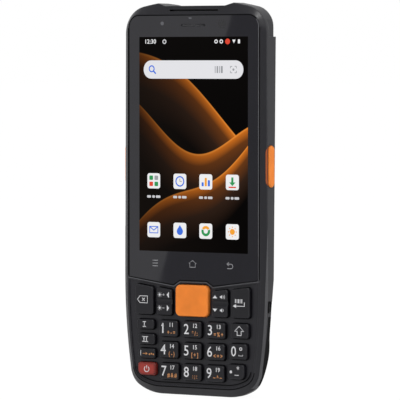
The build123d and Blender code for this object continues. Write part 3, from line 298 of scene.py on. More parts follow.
def wallpaper(name):
    """Plain glowing ridges on black: three long waves, each lit at its crest."""
    s = Shader(name)
    x, _, z = s.axes()
    across = s.spread(x, -SCREEN_X * MM, SCREEN_X * MM, 0.0, 1.0)
    up = s.spread(z, SCREEN_LOW * MM, SCREEN_HIGH * MM, 0.0, 1.0)
    night = (0.0014, 0.0010, 0.0009)
    ember = [
        (0.0, (0.95, 0.32, 0.045)),
        (0.05, (0.56, 0.145, 0.012)),
        (0.22, (0.13, 0.038, 0.008)),
        (0.55, (0.030, 0.014, 0.008)),
        (1.0, night),
    ]
    ridges = [
        {"start": 0.90, "rise": -0.36, "swing": 0.075, "turns": 3.6, "phase": 0.4, "reach": 0.30},
        {"start": 0.62, "rise": -0.10, "swing": 0.11, "turns": 4.4, "phase": 2.5, "reach": 0.26},
        {"start": 0.10, "rise": 0.42, "swing": 0.055, "turns": 5.0, "phase": 0.9, "reach": 0.24},
    ]
    colour = s.mix(s.spread(up, 0.55, 1.0, 0.0, 1.0), night, (0.0028, 0.0022, 0.0020))
    brighter = s.spread(across, 0.0, 0.9, 0.12, 1.0)
    for ridge in ridges:
        turn = s.math("MULTIPLY_ADD", across, ridge["turns"], ridge["phase"])
        wave = s.math("MULTIPLY", s.math("SINE", turn), ridge["swing"])
        crest = s.math("ADD", s.math("MULTIPLY_ADD", across, ridge["rise"], ridge["start"]), wave)
        drop = s.math("SUBTRACT", crest, up)
        glow = s.ramp(s.spread(drop, 0.0, ridge["reach"], 0.0, 1.0), ember)
        glow = s.mix(brighter, (0.006, 0.004, 0.003), glow)
        colour = s.mix(s.spread(drop, 0.0, 0.004, 0.0, 1.0), colour, glow)
    grid = s.ramp(pixel_grid(s), [(0.0, (0.82,) * 3), (1.0, (1.0,) * 3)])
    s.put(Base_Color=(0.0006, 0.0006, 0.0006), Roughness=0.3, Specular_IOR_Level=0.01)
    s.put(Emission_Color=s.mix(1.0, colour, grid, "MULTIPLY"), Emission_Strength=1.0)
    return s.material


def ink(name, colour, roughness=0.5, specular=0.5):
    """Printed or inlaid marking, a little uneven in tone."""
    s = Shader(name)
    patch = s.noise(0.5, detail=3.0)
    s.put(Base_Color=s.cloudy(patch, shade(colour, 0.88), colour), Specular_IOR_Level=specular)
    s.put(Roughness=s.uneven(s.noise(0.15), roughness - 0.06, roughness + 0.06))
    s.bump(patch, 0.003)
    return s.material


def dark_lens(name, tint, roughness=0.04):
    """Coated glass or acrylic over a dark inside, with a faint coloured bloom."""
    s = Shader(name)
    s.put(Base_Color=s.cloudy(s.noise(4.0), shade(tint, 0.5), tint), Coat_Weight=0.5)
    s.put(Roughness=s.uneven(s.noise(1.2), roughness, roughness + 0.05))
    return s.material


def board_green(name):
    """Solder mask with traces showing as lighter lines, and small plated pads."""
    s = Shader(name)
    tracks = s.node("TexBrick", s.place)
    tracks.inputs["Scale"].default_value = 260.0
    feed(s.tree, tracks.inputs["Color1"], (0.012, 0.075, 0.035))
    feed(s.tree, tracks.inputs["Color2"], (0.015, 0.095, 0.042))
    feed(s.tree, tracks.inputs["Mortar"], (0.03, 0.16, 0.07))
    pads = s.spread(s.cells(1.6), 0.12, 0.16, 1.0, 0.0)
    s.put(Base_Color=s.mix(pads, tracks.outputs["Color"], (0.75, 0.58, 0.25)))
    s.put(Roughness=s.uneven(s.noise(0.8), 0.3, 0.45))
    s.bump(tracks.outputs["Fac"], 0.02)
    return s.material


def gauze(name, colour, pitch_mm):
    """Woven metal gauze: bright wires round dark holes."""
    s = Shader(name)
    x, _, z = s.axes()
    weave = s.math("MULTIPLY", s.ripple(x, pitch_mm), s.ripple(z, pitch_mm))
    wire = s.spread(s.math("ABSOLUTE", weave), 0.15, 0.5, 1.0, 0.0)
    s.put(Base_Color=s.mix(wire, (0.004, 0.004, 0.004), colour), Metallic=0.8, Roughness=0.4)
    s.bump(wire, 0.05)
    return s.material


def wrap(name, cell_mm):
    """Printed film round the battery cells, with the cells' soft swell in the bump."""
    s = Shader(name)
    swell = s.math("MULTIPLY", s.ripple(s.axes()[0], cell_mm), 0.5)
    s.put(Base_Color=s.cloudy(s.noise(8.0), (0.045, 0.047, 0.055), (0.07, 0.072, 0.082)))
    s.put(Roughness=s.uneven(s.noise(1.0), 0.3, 0.42))
    s.bump(s.math("ADD", swell, s.noise(5.0)), 0.12)
    return s.material


FINISH = {
    "front_plastic": moulded(
        "front_plastic", (0.0088, 0.0084, 0.0122), roughness=0.40,
        specular=0.34, edge_radius=0.4, worn_and_shaded_edge_share=0.8, worn_and_shaded_edge_colour=(0.030, 0.030, 0.036)),
    "rear_plastic": moulded(
        "rear_plastic", (0.0122, 0.0117, 0.0158), roughness=0.44, grain_mm=0.22, grain_depth=0.02,
        specular=0.36, edge_radius=0.5, worn_and_shaded_edge_share=0.8, worn_and_shaded_edge_colour=(0.034, 0.034, 0.040)),
    "latch_plastic": moulded("latch_plastic", (0.040, 0.040, 0.045), roughness=0.45),
    "key_plastic": moulded(
        "key_plastic", (0.0068, 0.0065, 0.0094), roughness=0.42, grain_mm=0.12, grain_depth=0.008,
        specular=0.30, edge_radius=0.35, worn_and_shaded_edge_share=0.8, worn_and_shaded_edge_colour=(0.026, 0.026, 0.031)),
    "orange_key": moulded(
        "orange_key", (1.0, 0.272, 0.036), roughness=0.5, grain_mm=0.14, grain_depth=0.008,
        specular=0.22, edge_radius=0.35, worn_and_shaded_edge_share=0.5, worn_and_shaded_edge_colour=(1.0, 0.36, 0.09)),
    "red_key": moulded(
        "red_key", (0.36, 0.040, 0.030), roughness=0.42, grain_mm=0.12, grain_depth=0.008,
        edge_radius=1.3, worn_and_shaded_edge_share=0.95, worn_and_shaded_edge_colour=(0.060, 0.010, 0.010)),
    "cover_glass": glass_border("cover_glass"),
    "display": dark_lens("display_cell", (0.010, 0.010, 0.014), roughness=0.1),
    "tape": rubbery("tape", (0.012, 0.012, 0.012)),
    "fine_mesh": gauze("fine_mesh", (0.15, 0.15, 0.16), pitch_mm=0.22),
    "dark_part": moulded(
        "dark_part", (0.013, 0.013, 0.014), roughness=0.55, grain_mm=0.2, grain_depth=0.015),
    "lens_barrel": metal("lens_barrel", (0.05, 0.05, 0.055), roughness=0.3, brushed_axis=1),
    "light_pipe": dark_lens("light_pipe", (0.55, 0.57, 0.6), roughness=0.15),
    "silicone": rubbery("silicone", (0.05, 0.05, 0.055)),
    "spring_metal": metal("spring_metal", (0.62, 0.62, 0.64), roughness=0.28),
    "circuit_board": board_green("circuit_board"),
    "scanner_window": dark_lens("scanner_window", (0.085, 0.006, 0.010)),
    "battery_wrap": wrap("battery_wrap", cell_mm=24.6),
    "lens_window": dark_lens("lens_window", (0.006, 0.007, 0.012)),
    "flash_lens": dark_lens("flash_lens", (0.62, 0.56, 0.32), roughness=0.12),
    "gold_contact": metal("gold_contact", (0.83, 0.62, 0.28), roughness=0.22, brushed_axis=1),
    "screw_metal": metal("screw_metal", (0.10, 0.10, 0.11), roughness=0.35, brushed_axis=1),
}

WHITE_INK = ink("white_ink", (0.80, 0.80, 0.82))
ORANGE_INK = ink("orange_ink", (0.62, 0.27, 0.095))
GREY_INK = ink("grey_ink", (0.36, 0.36, 0.38))
DIM_INK = ink("dim_ink", (0.11, 0.11, 0.125))
FAINT_INK = ink("faint_ink", (0.012, 0.012, 0.014), roughness=0.35)
# Painted shade: near-black lines and sheets where gaps, creases and the strap slot fall into shade.
PAINTED_SHADE_INK = ink("painted_shade_ink", (0.0012, 0.0012, 0.0014), roughness=0.8, specular=0.08)
# Painted highlight: light lines for a glint on the glass edge and for the lit ridge of the frame.
GLASS_GLINT = ink("glass_glint", (0.105, 0.105, 0.115), roughness=0.2)
# Painted shade: a near-black rubbery sheet low on each side, where the side turns into shade.
PAINTED_SIDE_SHADE = rubbery("painted_side_shade", (0.0035, 0.0035, 0.0040), specular=0.08)
# Painted highlight: a lighter plastic for the lit outer band of the bevel.
PAINTED_HIGHLIGHT_PLASTIC = moulded("painted_highlight_plastic", (0.080, 0.080, 0.086), roughness=0.42, specular=0.34)
# Painted shade: a darker orange for the shaded flank of the side button.
ORANGE_SHADE = moulded(
    "orange_shade", (0.40, 0.085, 0.012), roughness=0.5, grain_mm=0.14, grain_depth=0.008)

LIT_WHITE = lit("lit_white", (0.86, 0.86, 0.87))
LIT_PALE = lit("lit_pale", (0.77, 0.77, 0.80))
LIT_DIM = lit("lit_dim", (0.60, 0.60, 0.62))
LIT_GREY = lit("lit_grey", (0.33, 0.34, 0.36))
LIT_BLUE = lit("lit_blue", (0.05, 0.16, 0.72))
LIT_GREEN = lit("lit_green", (0.03, 0.30, 0.09))
LIT_RED = lit("lit_red", (0.72, 0.06, 0.03))
LIT_AMBER = lit("lit_amber", (0.90, 0.36, 0.03))


def dress_nodes():
    """Gives every CAD node the finish of its slot in the record."""
    for row in frame["record"]["subparts"]:
        slots = NODES[row["node"]].data.materials
        slots.clear()
        slots.append(FINISH[row["material_slot"]])


# ---------------------------------------------------------------- objects and outlines


def add_object(name, data):
    """A new object of some data, linked into the scene."""
    made = bpy.data.objects.new(name, data)
    bpy.context.scene.collection.objects.link(made)
    return made


def mesh_data(name, mesh, materials):
    """Mesh data of a bmesh, its faces turned outwards, with some materials."""
    bmesh.ops.recalc_face_normals(mesh, faces=mesh.faces)
    data = bpy.data.meshes.new(name)
    mesh.to_mesh(data)
    mesh.free()
    for material in materials:
        data.materials.append(material)
    return data


def heights(low, high, steps):
    """Evenly spaced heights, ends included."""
    return [low + (high - low) * i / steps for i in range(steps + 1)]


def arc(x, z, radius, start, end, steps=14):
    """Points on an arc, angles in degrees from +X."""
    angles = [math.radians(start + (end - start) * i / steps) for i in range(steps + 1)]
    return [(x + radius * math.cos(a), z + radius * math.sin(a)) for a in angles]


def circle(x, z, radius, steps=20):
    return arc(x, z, radius, 0, 360, steps)[:-1]


def rounded_box(x, z, width, height, radius, steps=5):
    """Outline of a rounded rectangle as a closed loop of points."""
    loop = []
    for sx, sz, start in ((1, 1, 0), (-1, 1, 90), (-1, -1, 180), (1, -1, 270)):
        corner_x = x + sx * (width / 2 - radius)
        corner_z = z + sz * (height / 2 - radius)
        loop += arc(corner_x, corner_z, radius, start, start + 90, steps)
    return loop


def flat_rim(node, level, facing):
    """Widest loop of points round a node's flat faces at one Y, as X and Z."""
    same_place, same_level, straight_on = 1e-6, 1e-5, 0.99
    mesh = bmesh.new()
    mesh.from_mesh(NODES[node].data)
    bmesh.ops.remove_doubles(mesh, verts=mesh.verts, dist=same_place)
    flat = {f for f in mesh.faces if f.normal.y * facing > straight_on
            and abs(f.calc_center_median().y - level * MM) < same_level}
    free = [e for e in mesh.edges if sum(f in flat for f in e.link_faces) == 1]
    loops = []
    while free:
        edge = free.pop()
        start, step = edge.verts
        loop = [start]
        while step != start:
            loop.append(step)
            edge = next(e for e in step.link_edges if e in free)
            free.remove(edge)
            step = edge.other_vert(step)
        loops.append([(v.co.x / MM, v.co.z / MM) for v in loop])
    mesh.free()
    return max(loops, key=lambda loop: max(x for x, _ in loop) - min(x for x, _ in loop))


def spread_loop(points, amount):
    """A closed loop moved outwards by an amount, point by point."""
    nexts = points[1:] + points[:1]
    area = sum(a[0] * b[1] - b[0] * a[1] for a, b in zip(points, nexts))
    way = amount if area > 0 else -amount
    moved = []
    for before, here, after in zip(points[-1:] + points[:-1], points, nexts):
        into = (Vector(here) - Vector(before)).normalized()
        out = (Vector(after) - Vector(here)).normalized()
        along = (into + out).normalized()
        moved.append((here[0] + way * along.y, here[1] - way * along.x))
    return moved


def below(level):
    """Test that a point lies below a height."""
    return lambda point: point[1] < level


def right_of(edge):
    """Test that a point lies to the right of a line."""
    return lambda point: point[0] > edge


def run_of(loop, keep):
    """The unbroken run of a closed loop's points that a test keeps."""
    kept = [keep(point) for point in loop]
    start = next(i for i in range(len(loop)) if kept[i] and not kept[i - 1])
    return [point for point in loop[start:] + loop[:start] if keep(point)]


# ---------------------------------------------------------------- thin prints


def trace(curve, points, closed):
    """Adds straight lines through some points to a curve."""
    spline = curve.splines.new("POLY")
    spline.points.add(len(points) - 1)
    for point, (x, z) in zip(spline.points, points):
        point.co = (x, z, 0, 1)
    spline.use_cyclic_u = closed


class Print:
    """Thin markings on one face, gathered into one piece that rides on one body."""

    FIGURE_SHARE = 0.73  # a figure's height as a share of the built-in face's size

    def __init__(self, name, body, face_y, thick=PRINT_THICK):
        self.name, self.body, self.face_y, self.thick = name, body, face_y, thick
        self.mesh = bmesh.new()
        self.materials = []

    def index(self, material):
        if material not in self.materials:
            self.materials.append(material)
        return self.materials.index(material)

    def take(self, curve, material, lift=0.0):
        """Turns a flat curve in XY into a thin solid on the face, and returns its new points."""
        holder = add_object("holder", curve)
        graph = bpy.context.evaluated_depsgraph_get()
        mesh = bpy.data.meshes.new_from_object(holder.evaluated_get(graph))
        bpy.data.objects.remove(holder)
        old_points, old_faces = len(self.mesh.verts), len(self.mesh.faces)
        self.mesh.from_mesh(mesh)
        bpy.data.meshes.remove(mesh)
        self.mesh.verts.ensure_lookup_table()
        self.mesh.faces.ensure_lookup_table()
        added = self.mesh.verts[old_points:]
        top = max((v.co.z for v in added), default=1.0)
        for v in added:
            rise = lift + self.thick * max(0.0, v.co.z) / top
            v.co = Vector((v.co.x, self.face_y - rise, v.co.y)) * MM
        for face in self.mesh.faces[old_faces:]:
            face.material_index = self.index(material)
        return added

    def fill(self, loops, material, lift=0.0):
        """Filled shape; further loops inside the first are its holes."""
        curve = bpy.data.curves.new("shape", "CURVE")
        curve.dimensions = "2D"
        curve.fill_mode = "BOTH"
        curve.extrude = 1.0
        for loop in loops:
            trace(curve, loop, closed=True)
        self.take(curve, material, lift)

    def line(self, points, width, material, closed=False, lift=0.0):
        """A drawn line of one width."""
        curve = bpy.data.curves.new("line", "CURVE")
        curve.dimensions = "3D"
        curve.bevel_depth = width / 2
        curve.bevel_resolution = 1
        curve.use_fill_caps = True
        trace(curve, points, closed)
        self.take(curve, material, lift)

    def text(self, words, x, z, height, material, narrow=0.82, weight=0.0):
        """Figures in the plain built-in face, centred on a point; height is the figures' own."""
        curve = bpy.data.curves.new("figures", "FONT")
        curve.body = words
        curve.align_x = "CENTER"
        curve.align_y = "CENTER"
        curve.size = height / self.FIGURE_SHARE
        curve.extrude = 1.0
        curve.offset = weight
        curve.resolution_u = 3
        squeeze = Matrix.Diagonal((narrow, 1, 1, 1))
        for v in self.take(curve, material):
            v.co = squeeze @ v.co + Vector((x, 0, z)) * MM

    def rays(self, x, z, inner, outer, width, material, lift=0.0):
        """Eight short lines round a point."""
        for i in range(8):
            c, s = math.cos(math.pi * i / 4), math.sin(math.pi * i / 4)
            ends = [(x + reach * c, z + reach * s) for reach in (inner, outer)]
            self.line(ends, width, material, lift=lift)

    def finish(self, slot=None):
        """Makes the piece and sets it on its body; the slot argument is not used."""
        bmesh.ops.remove_doubles(self.mesh, verts=self.mesh.verts, dist=1e-7)
        piece = add_object(self.name, mesh_data(self.name, self.mesh, self.materials))
        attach(piece, self.body)


# ---------------------------------------------------------------- picture on the screen


def screen():
    """The lit picture: a generic home page with a search bar and eight plain signs."""
    page = Print("screen_picture", "housing", GLASS_Y, SCREEN_THICK)
    middle = (SCREEN_LOW + SCREEN_HIGH) / 2
    outline = rounded_box(0, middle, 2 * SCREEN_X, SCREEN_HIGH - SCREEN_LOW, 0.2)
    page.fill([outline], wallpaper("wallpaper"))
    page.finish("display")

    signs = Print("screen_signs", "housing", GLASS_Y - SCREEN_THICK, SIGN_THICK)
    status_bar(signs)
    search_bar(signs)
    home_icons(signs)
    signs.finish("display")


def status_bar(signs):
    """A time, three rings, a dot, a wedge and a block along the top."""
    z = STATUS_Z
    signs.text("12:30", -20.8, z, 1.8, LIT_WHITE, narrow=1.05, weight=0.03)
    signs.line(circle(-13.9, z, 0.75, 12), 0.45, LIT_DIM, closed=True)
    for x in (11.0, 13.5):
        signs.line(circle(x, z, 0.65, 12), 0.4, LIT_WHITE, closed=True)
    signs.fill([circle(16.5, z, 1.15)], LIT_RED)
    signs.fill([[(18.7, z + 0.7), (20.3, z + 0.7), (19.5, z - 0.7)]], LIT_WHITE)
    signs.fill([rounded_box(21.9, z, 1.0, 1.6, 0.2)], LIT_WHITE)


def search_bar(signs):
    """A pale rounded bar with a looking glass, four bars and a viewfinder."""
    z = SEARCH_Z
    signs.fill([rounded_box(0, z, 48.0, 7.4, 3.65, 8)], LIT_PALE)
    signs.line(circle(-20.1, z + 0.3, 1.2, 16), 0.5, LIT_BLUE, closed=True, lift=SIGN_THICK)
    signs.line([(-19.2, z - 0.6), (-18.1, z - 1.7)], 0.6, LIT_BLUE, lift=SIGN_THICK)
    for i, width in enumerate((0.35, 0.7, 0.35, 0.9)):
        signs.fill([rounded_box(10.6 + i * 1.05, z, width, 2.8, 0.05, 1)], LIT_GREY, lift=SIGN_THICK)
    finder_x, arm = 19.3, 0.8
    for sx in (-1, 1):
        for sz in (-1, 1):
            x, up = finder_x + sx * 1.4, z + sz * 1.3
            corner = [(x - sx * arm, up), (x, up), (x, up - sz * arm)]
            signs.line(corner, 0.35, LIT_GREY, lift=SIGN_THICK)
    signs.fill([circle(finder_x, z, 0.5, 10)], LIT_GREY, lift=SIGN_THICK)


def home_icons(signs):
    """Two rows of white tiles with a plain drawing on each, and label bars between them."""
    places = [(x, z) for z in ICON_ROWS for x in ICON_COLUMNS]
    for x, z in places:
        signs.fill([rounded_box(x, z, ICON_TILE, ICON_TILE, 1.0)], LIT_WHITE)
    drawings = (draw_boxes, draw_clock, draw_chart, draw_arrow,
                draw_letter, draw_drop, draw_ring, draw_sun)
    for (x, z), draw in zip(places, drawings):
        draw(signs, x, z, SIGN_THICK)
    for x in ICON_COLUMNS:
        for i, width in enumerate((1.9, 1.3, 2.2)):
            signs.fill([rounded_box(x - 2.3 + i * 2.2, LABEL_Z, width, 1.0, 0.3, 2)], LIT_DIM)


def draw_boxes(signs, x, z, lift):
    colours = {(-1, 1): LIT_GREEN, (1, 1): LIT_GREY, (-1, -1): LIT_RED, (1, -1): LIT_GREEN}
    for (sx, sz), colour in colours.items():
        signs.fill([rounded_box(x + sx * 1.25, z + sz * 1.25, 1.8, 1.8, 0.3, 2)], colour, lift)


def draw_clock(signs, x, z, lift):
    signs.line(circle(x, z, 1.9), 0.55, LIT_BLUE, closed=True, lift=lift)
    signs.line([(x, z + 1.1), (x, z), (x + 0.9, z)], 0.4, LIT_GREY, lift=lift)


def draw_chart(signs, x, z, lift):
    foot = z - 1.8
    for step, height, colour in ((-1.5, 1.6, LIT_BLUE), (0.0, 3.4, LIT_AMBER), (1.5, 2.5, LIT_BLUE)):
        signs.fill([rounded_box(x + step, foot + height / 2, 1.0, height, 0.2, 2)], colour, lift)


def draw_arrow(signs, x, z, lift):
    left, right = x - 0.5, x + 0.5
    shaft = [(left, z), (left, z + 2.0), (right, z + 2.0), (right, z)]
    head = [(x + 1.5, z), (x, z - 1.5), (x - 1.5, z)]
    signs.fill([shaft + head], LIT_GREEN, lift)
    signs.fill([rounded_box(x, z - 2.0, 3.6, 0.55, 0.2, 2)], LIT_RED, lift)


def draw_letter(signs, x, z, lift):
    envelope = [(x - 2, z - 1.3), (x + 2, z - 1.3), (x + 2, z + 1.3), (x - 2, z + 1.3)]
    signs.line(envelope, 0.5, LIT_BLUE, closed=True, lift=lift)
    signs.line([(x - 1.9, z + 1.2), (x, z - 0.2), (x + 1.9, z + 1.2)], 0.45, LIT_BLUE, lift=lift)


def draw_drop(signs, x, z, lift):
    signs.fill([arc(x, z - 0.4, 1.5, 150, 390) + [(x, z + 2.2)]], LIT_BLUE, lift)


def draw_ring(signs, x, z, lift):
    for start, end, colour in ((30, 150, LIT_AMBER), (160, 380, LIT_GREEN)):
        signs.fill([arc(x, z, 2.1, start, end) + arc(x, z, 1.0, end, start)], colour, lift)


def draw_sun(signs, x, z, lift):
    signs.fill([circle(x, z, 1.2)], LIT_AMBER, lift)
    signs.rays(x, z, 1.6, 2.1, 0.4, LIT_AMBER, lift)


# ---------------------------------------------------------------- marks on glass and frame


def glass_marks():
    """Signs printed behind the glass, the faint windows above the display, and painted shade and
    highlight lines round the glass's rim.
    """
    marks = Print("glass_marks", "housing", GLASS_Y, MARK_THICK)
    touch_signs(marks)
    marks.fill([circle(*LIGHT_SENSOR, 0.8)], DIM_INK)
    marks.fill([rounded_box(*NEAR_SENSOR, 1.4, 0.6, 0.25)], DIM_INK)
    glass_rim(marks)
    marks.fill([circle(*CAMERA_RING, 1.9, 28), circle(*CAMERA_RING, 1.45, 28)], FAINT_INK)
    marks.fill([circle(*CAMERA_RING, 1.0, 24)], FAINT_INK)
    marks.finish("cover_glass")


def touch_signs(marks):
    """Menu, home and back signs below the display."""
    z, stroke = TOUCH_SIGN_Z, 0.32
    menu_x, home_x, back_x = -18.4, -0.3, 16.2
    for rise in (1.15, 0.0, -1.15):
        marks.line([(menu_x - 1.3, z + rise), (menu_x + 1.3, z + rise)], stroke, GREY_INK)

    eaves, foot = z + 0.35, z - 1.2
    left_wall = [(home_x - 0.8, foot), (home_x - 1.3, foot), (home_x - 1.3, eaves)]
    roof = [(home_x - 1.8, eaves), (home_x, z + 1.5), (home_x + 1.8, eaves)]
    right_wall = [(home_x + 1.3, eaves), (home_x + 1.3, foot), (home_x - 0.8, foot)]
    marks.line(left_wall + roof + right_wall, stroke, GREY_INK)

    upper, lower, turn_x = z + 0.55, z - 1.25, back_x + 1.9
    turn = arc(turn_x, (upper + lower) / 2, 0.9, 90, -90, 8)
    shaft = [(back_x + 0.2, upper), (turn_x, upper)] + turn + [(back_x + 0.1, lower)]
    head = [(back_x + 0.9, upper + 0.65), (back_x, upper), (back_x + 0.9, upper - 0.65)]
    marks.line(shaft, stroke, GREY_INK)
    marks.line(head, stroke, GREY_INK)


def glass_rim(marks):
    """Painted shade in the gap round the cover glass and a painted shade line at each side, a painted
    glint at the right, a painted highlight on the frame's ridge below.
    """
    rim = flat_rim("cover_glass", GLASS_Y, -1)
    gap, glint, ridge = [spread_loop(rim, amount) for amount in (0.25, 0.15, 0.8)]
    side_x, side_low, side_high = 31.62, 48.0, 149.0
    glint_edge, ridge_top = 30.0, 56.0
    marks.line(gap, 0.34, PAINTED_SHADE_INK, closed=True)
    marks.line(run_of(glint, right_of(glint_edge)), 0.34, GLASS_GLINT, lift=MARK_THICK)
    for x in (-side_x, side_x):
        marks.line([(x, side_low), (x, side_high)], 0.42, PAINTED_SHADE_INK)
    marks.line(run_of(ridge, below(ridge_top)), 0.3, GLASS_GLINT)


def low_groove_shade():
    """Two fine lines of painted shade that follow the front frame's lower edge, below the keys."""
    rim = flat_rim("front_housing", GLASS_Y, -1)
    groove_shade_lines = Print("low_groove_shade", "housing", GLASS_Y, GROOVE_SHADE_THICK)
    ends_z = 14.0
    for inset, width in ((1.9, 0.34), (0.2, 0.42)):
        groove_shade_lines.line(run_of(spread_loop(rim, -inset), below(ends_z)), width, PAINTED_SHADE_INK)
    groove_shade_lines.finish("front_plastic")


# ---------------------------------------------------------------- key legends

SECOND_SIGNS = ["+ - =", "* / :", "= % +", "( - )", "[ + ]", "< = >", "# & #", ": ; :", "~ ^ ~"]


def legend(body):
    """An empty print for one key or rocker."""
    return Print("legend_" + body, body, KEY_Y)


def digit_place(digit):
    """Centre of a digit key; the columns close up a little towards the foot."""
    row, column = divmod(digit - 1, 3)
    return (column - 1) * (DIGIT_STEP_X - DIGIT_CLOSING * row), DIGIT_TOP_Z - DIGIT_STEP_Z * row


def digit_legends():
    """White figure on the left, a small white number and small orange signs on the right."""
    for digit, signs in enumerate(SECOND_SIGNS, start=1):
        x, z = digit_place(digit)
        left, right = x - 2.45, x + 1.6
        key = legend(f"key_{digit}")
        key.text(str(digit), left, z - 0.1, 4.3, WHITE_INK, narrow=0.92, weight=0.03)
        if digit == 1:  # its flag
            key.line([(left, z + 1.7), (x - 3.2, z + 1.0)], 0.42, WHITE_INK)
        key.text(f"1{digit}", right, z + 1.5, 1.75, WHITE_INK, narrow=1.0, weight=0.03)
        key.text(signs, right, z - 1.6, 1.75, ORANGE_INK, narrow=0.8, weight=0.06)
        key.finish()


def roman_legend(body, x, z, stems):
    """Roman figure made of upright stems between two bars."""
    key = legend(body)
    for stem in stems:
        key.line([(x + stem, z - 1.0), (x + stem, z + 1.0)], 0.42, WHITE_INK)
    for bar in (-1.0, 1.0):
        key.line([(x + stems[0] - 0.8, z + bar), (x + stems[-1] + 0.8, z + bar)], 0.34, WHITE_INK)
    key.finish()


def mode_legend(x, z):
    """A small one, an arrow to the right and three dots."""
    key = legend("key_mode")
    key.text("1", x - 2.0, z + 0.1, 2.2, WHITE_INK, narrow=0.8)
    key.line([(x - 1.0, z), (x + 0.6, z)], 0.28, ORANGE_INK)
    key.fill([[(x + 0.5, z + 0.55), (x + 0.5, z - 0.55), (x + 1.4, z)]], ORANGE_INK)
    for i in range(3):
        key.fill([circle(x + 2.3 + 0.95 * i, z - 0.2 + 0.25 * (i % 2), 0.36, 12)], ORANGE_INK)
    key.finish()


def power_legend(x, z):
    """The common open ring with a stroke through its gap."""
    key = legend("key_power")
    key.line(arc(x, z, 1.15, 125, 415, 18), 0.36, WHITE_INK)
    key.line([(x, z + 0.2), (x, z + 1.5)], 0.36, WHITE_INK)
    key.finish()


def function_legend(x, z):
    """Outline of a broad arrow that points up."""
    key = legend("key_fn")
    shaft = [(x - 0.95, z - 1.7), (x + 0.95, z - 1.7), (x + 0.95, z)]
    head = [(x + 2.15, z), (x, z + 2.0), (x - 2.15, z), (x - 0.95, z)]
    key.line(shaft + head, 0.44, WHITE_INK, closed=True)
    key.finish()


def zero_legend(x, z):
    """The nought, a small ring above and a space sign below."""
    key = legend("key_0")
    key.text("0", x, z, 4.2, WHITE_INK, narrow=0.9, weight=0.03)
    key.line(circle(x + 3.4, z + 1.3, 0.55, 10), 0.4, WHITE_INK, closed=True)
    left, right, high, low = x + 2.5, x + 4.3, z - 1.1, z - 1.5
    key.line([(left, high), (left, low), (right, low), (right, high)], 0.28, WHITE_INK)
    key.finish()


def point_legend(x, z):
    """The point, a star above and a dash below."""
    key = legend("key_point")
    key.fill([circle(x, z, 0.6, 14)], WHITE_INK)
    key.text("*", x + 3.4, z + 1.0, 2.4, WHITE_INK, narrow=0.9, weight=0.02)
    key.line([(x + 1.8, z - 1.3), (x + 3.7, z - 1.3)], 0.34, WHITE_INK)
    key.finish()


def delete_legend(x, z):
    """Rub-out sign: a pointed tag with a cross in it."""
    key = legend("key_delete")
    left, right, top, foot = x - 1.65, x + 1.95, z + 1.4, z - 1.4
    tag = [(x - 2.95, z), (left, top), (right, top), (right, foot), (left, foot)]
    key.line(tag, 0.36, WHITE_INK, closed=True)
    for way in (1, -1):
        key.line([(x - 0.65, z + way * 0.6), (x + 0.65, z - way * 0.6)], 0.34, WHITE_INK)
    key.finish()


def enter_legend(x, z):
    """Return sign with its tip at a point, and five bars above it."""
    key = legend("key_enter")
    for i, width in enumerate((0.4, 0.25, 0.5, 0.25, 0.45)):
        key.fill([rounded_box(x + 1.3 + 0.75 * i, z + 2.0, width, 1.6, 0.05, 1)], WHITE_INK)
    key.line([(x + 5.5, z + 1.6), (x + 5.5, z), (x + 1.5, z)], 0.4, WHITE_INK)
    key.fill([[(x, z), (x + 1.6, z + 0.8), (x + 1.6, z - 0.8)]], WHITE_INK)
    key.finish()


def light_rocker_legend(x):
    """A lamp with a plus above and a minus below, and an arrowhead beside each."""
    rocker = legend("rocker_left")
    for z in (ROCKER_UPPER_Z, ROCKER_LOWER_Z):
        rocker.fill([circle(x, z, 0.5, 12)], WHITE_INK)
        rocker.rays(x, z, 0.75, 1.05, 0.2, WHITE_INK)
        rocker.line([(x + 1.4, z), (x + 2.3, z)], 0.24, WHITE_INK)
    upright = [(x + 1.85, ROCKER_UPPER_Z - 0.45), (x + 1.85, ROCKER_UPPER_Z + 0.45)]
    rocker.line(upright, 0.24, WHITE_INK)
    for z, tip, base in ((ROCKER_UPPER_Z, x + 3.4, x + 4.5), (ROCKER_LOWER_Z, x + 4.6, x + 3.5)):
        rocker.fill([[(tip, z), (base, z + 1.3), (base, z - 1.3)]], WHITE_INK)
    rocker.finish()


def sound_rocker_legend(x):
    """An up and a down arrowhead, with a louder and a softer loudspeaker beside them."""
    rocker = legend("rocker_right")
    back, throat, mouth = x + 2.4, x + 2.9, x + 3.5
    for z, rise, waves in ((ROCKER_UPPER_Z, 0.6, 2), (ROCKER_LOWER_Z, -0.6, 1)):
        rocker.fill([[(x - 1.1, z - rise), (x + 1.1, z - rise), (x, z + rise)]], WHITE_INK)
        cone = [(throat, z - 0.35), (mouth, z - 0.8), (mouth, z + 0.8), (throat, z + 0.35)]
        rocker.fill([[(back, z - 0.35)] + cone + [(back, z + 0.35)]], WHITE_INK)
        for i in range(waves):
            rocker.line(arc(mouth, z, 0.6 + 0.55 * i, -45, 45, 6), 0.22, WHITE_INK)
    rocker.finish()


def other_legends():
    """Signs on the keys other than the digits, each drawn from a point of its own."""
    roman_legend("key_p1", -22.9, 28.3, (0.0,))
    roman_legend("key_p2", -22.5, 22.2, (-0.6, 0.6))
    mode_legend(-22.7, 16.3)
    power_legend(-21.8, 10.0)
    function_legend(22.85, 27.1)
    zero_legend(20.2, 18.7)
    point_legend(18.9, 10.6)
    delete_legend(-23.35, 38.4)
    enter_legend(19.8, 37.2)
    light_rocker_legend(-15.4)
    sound_rocker_legend(11.3)


# ---------------------------------------------------------------- skins of painted shade and highlight on the sides


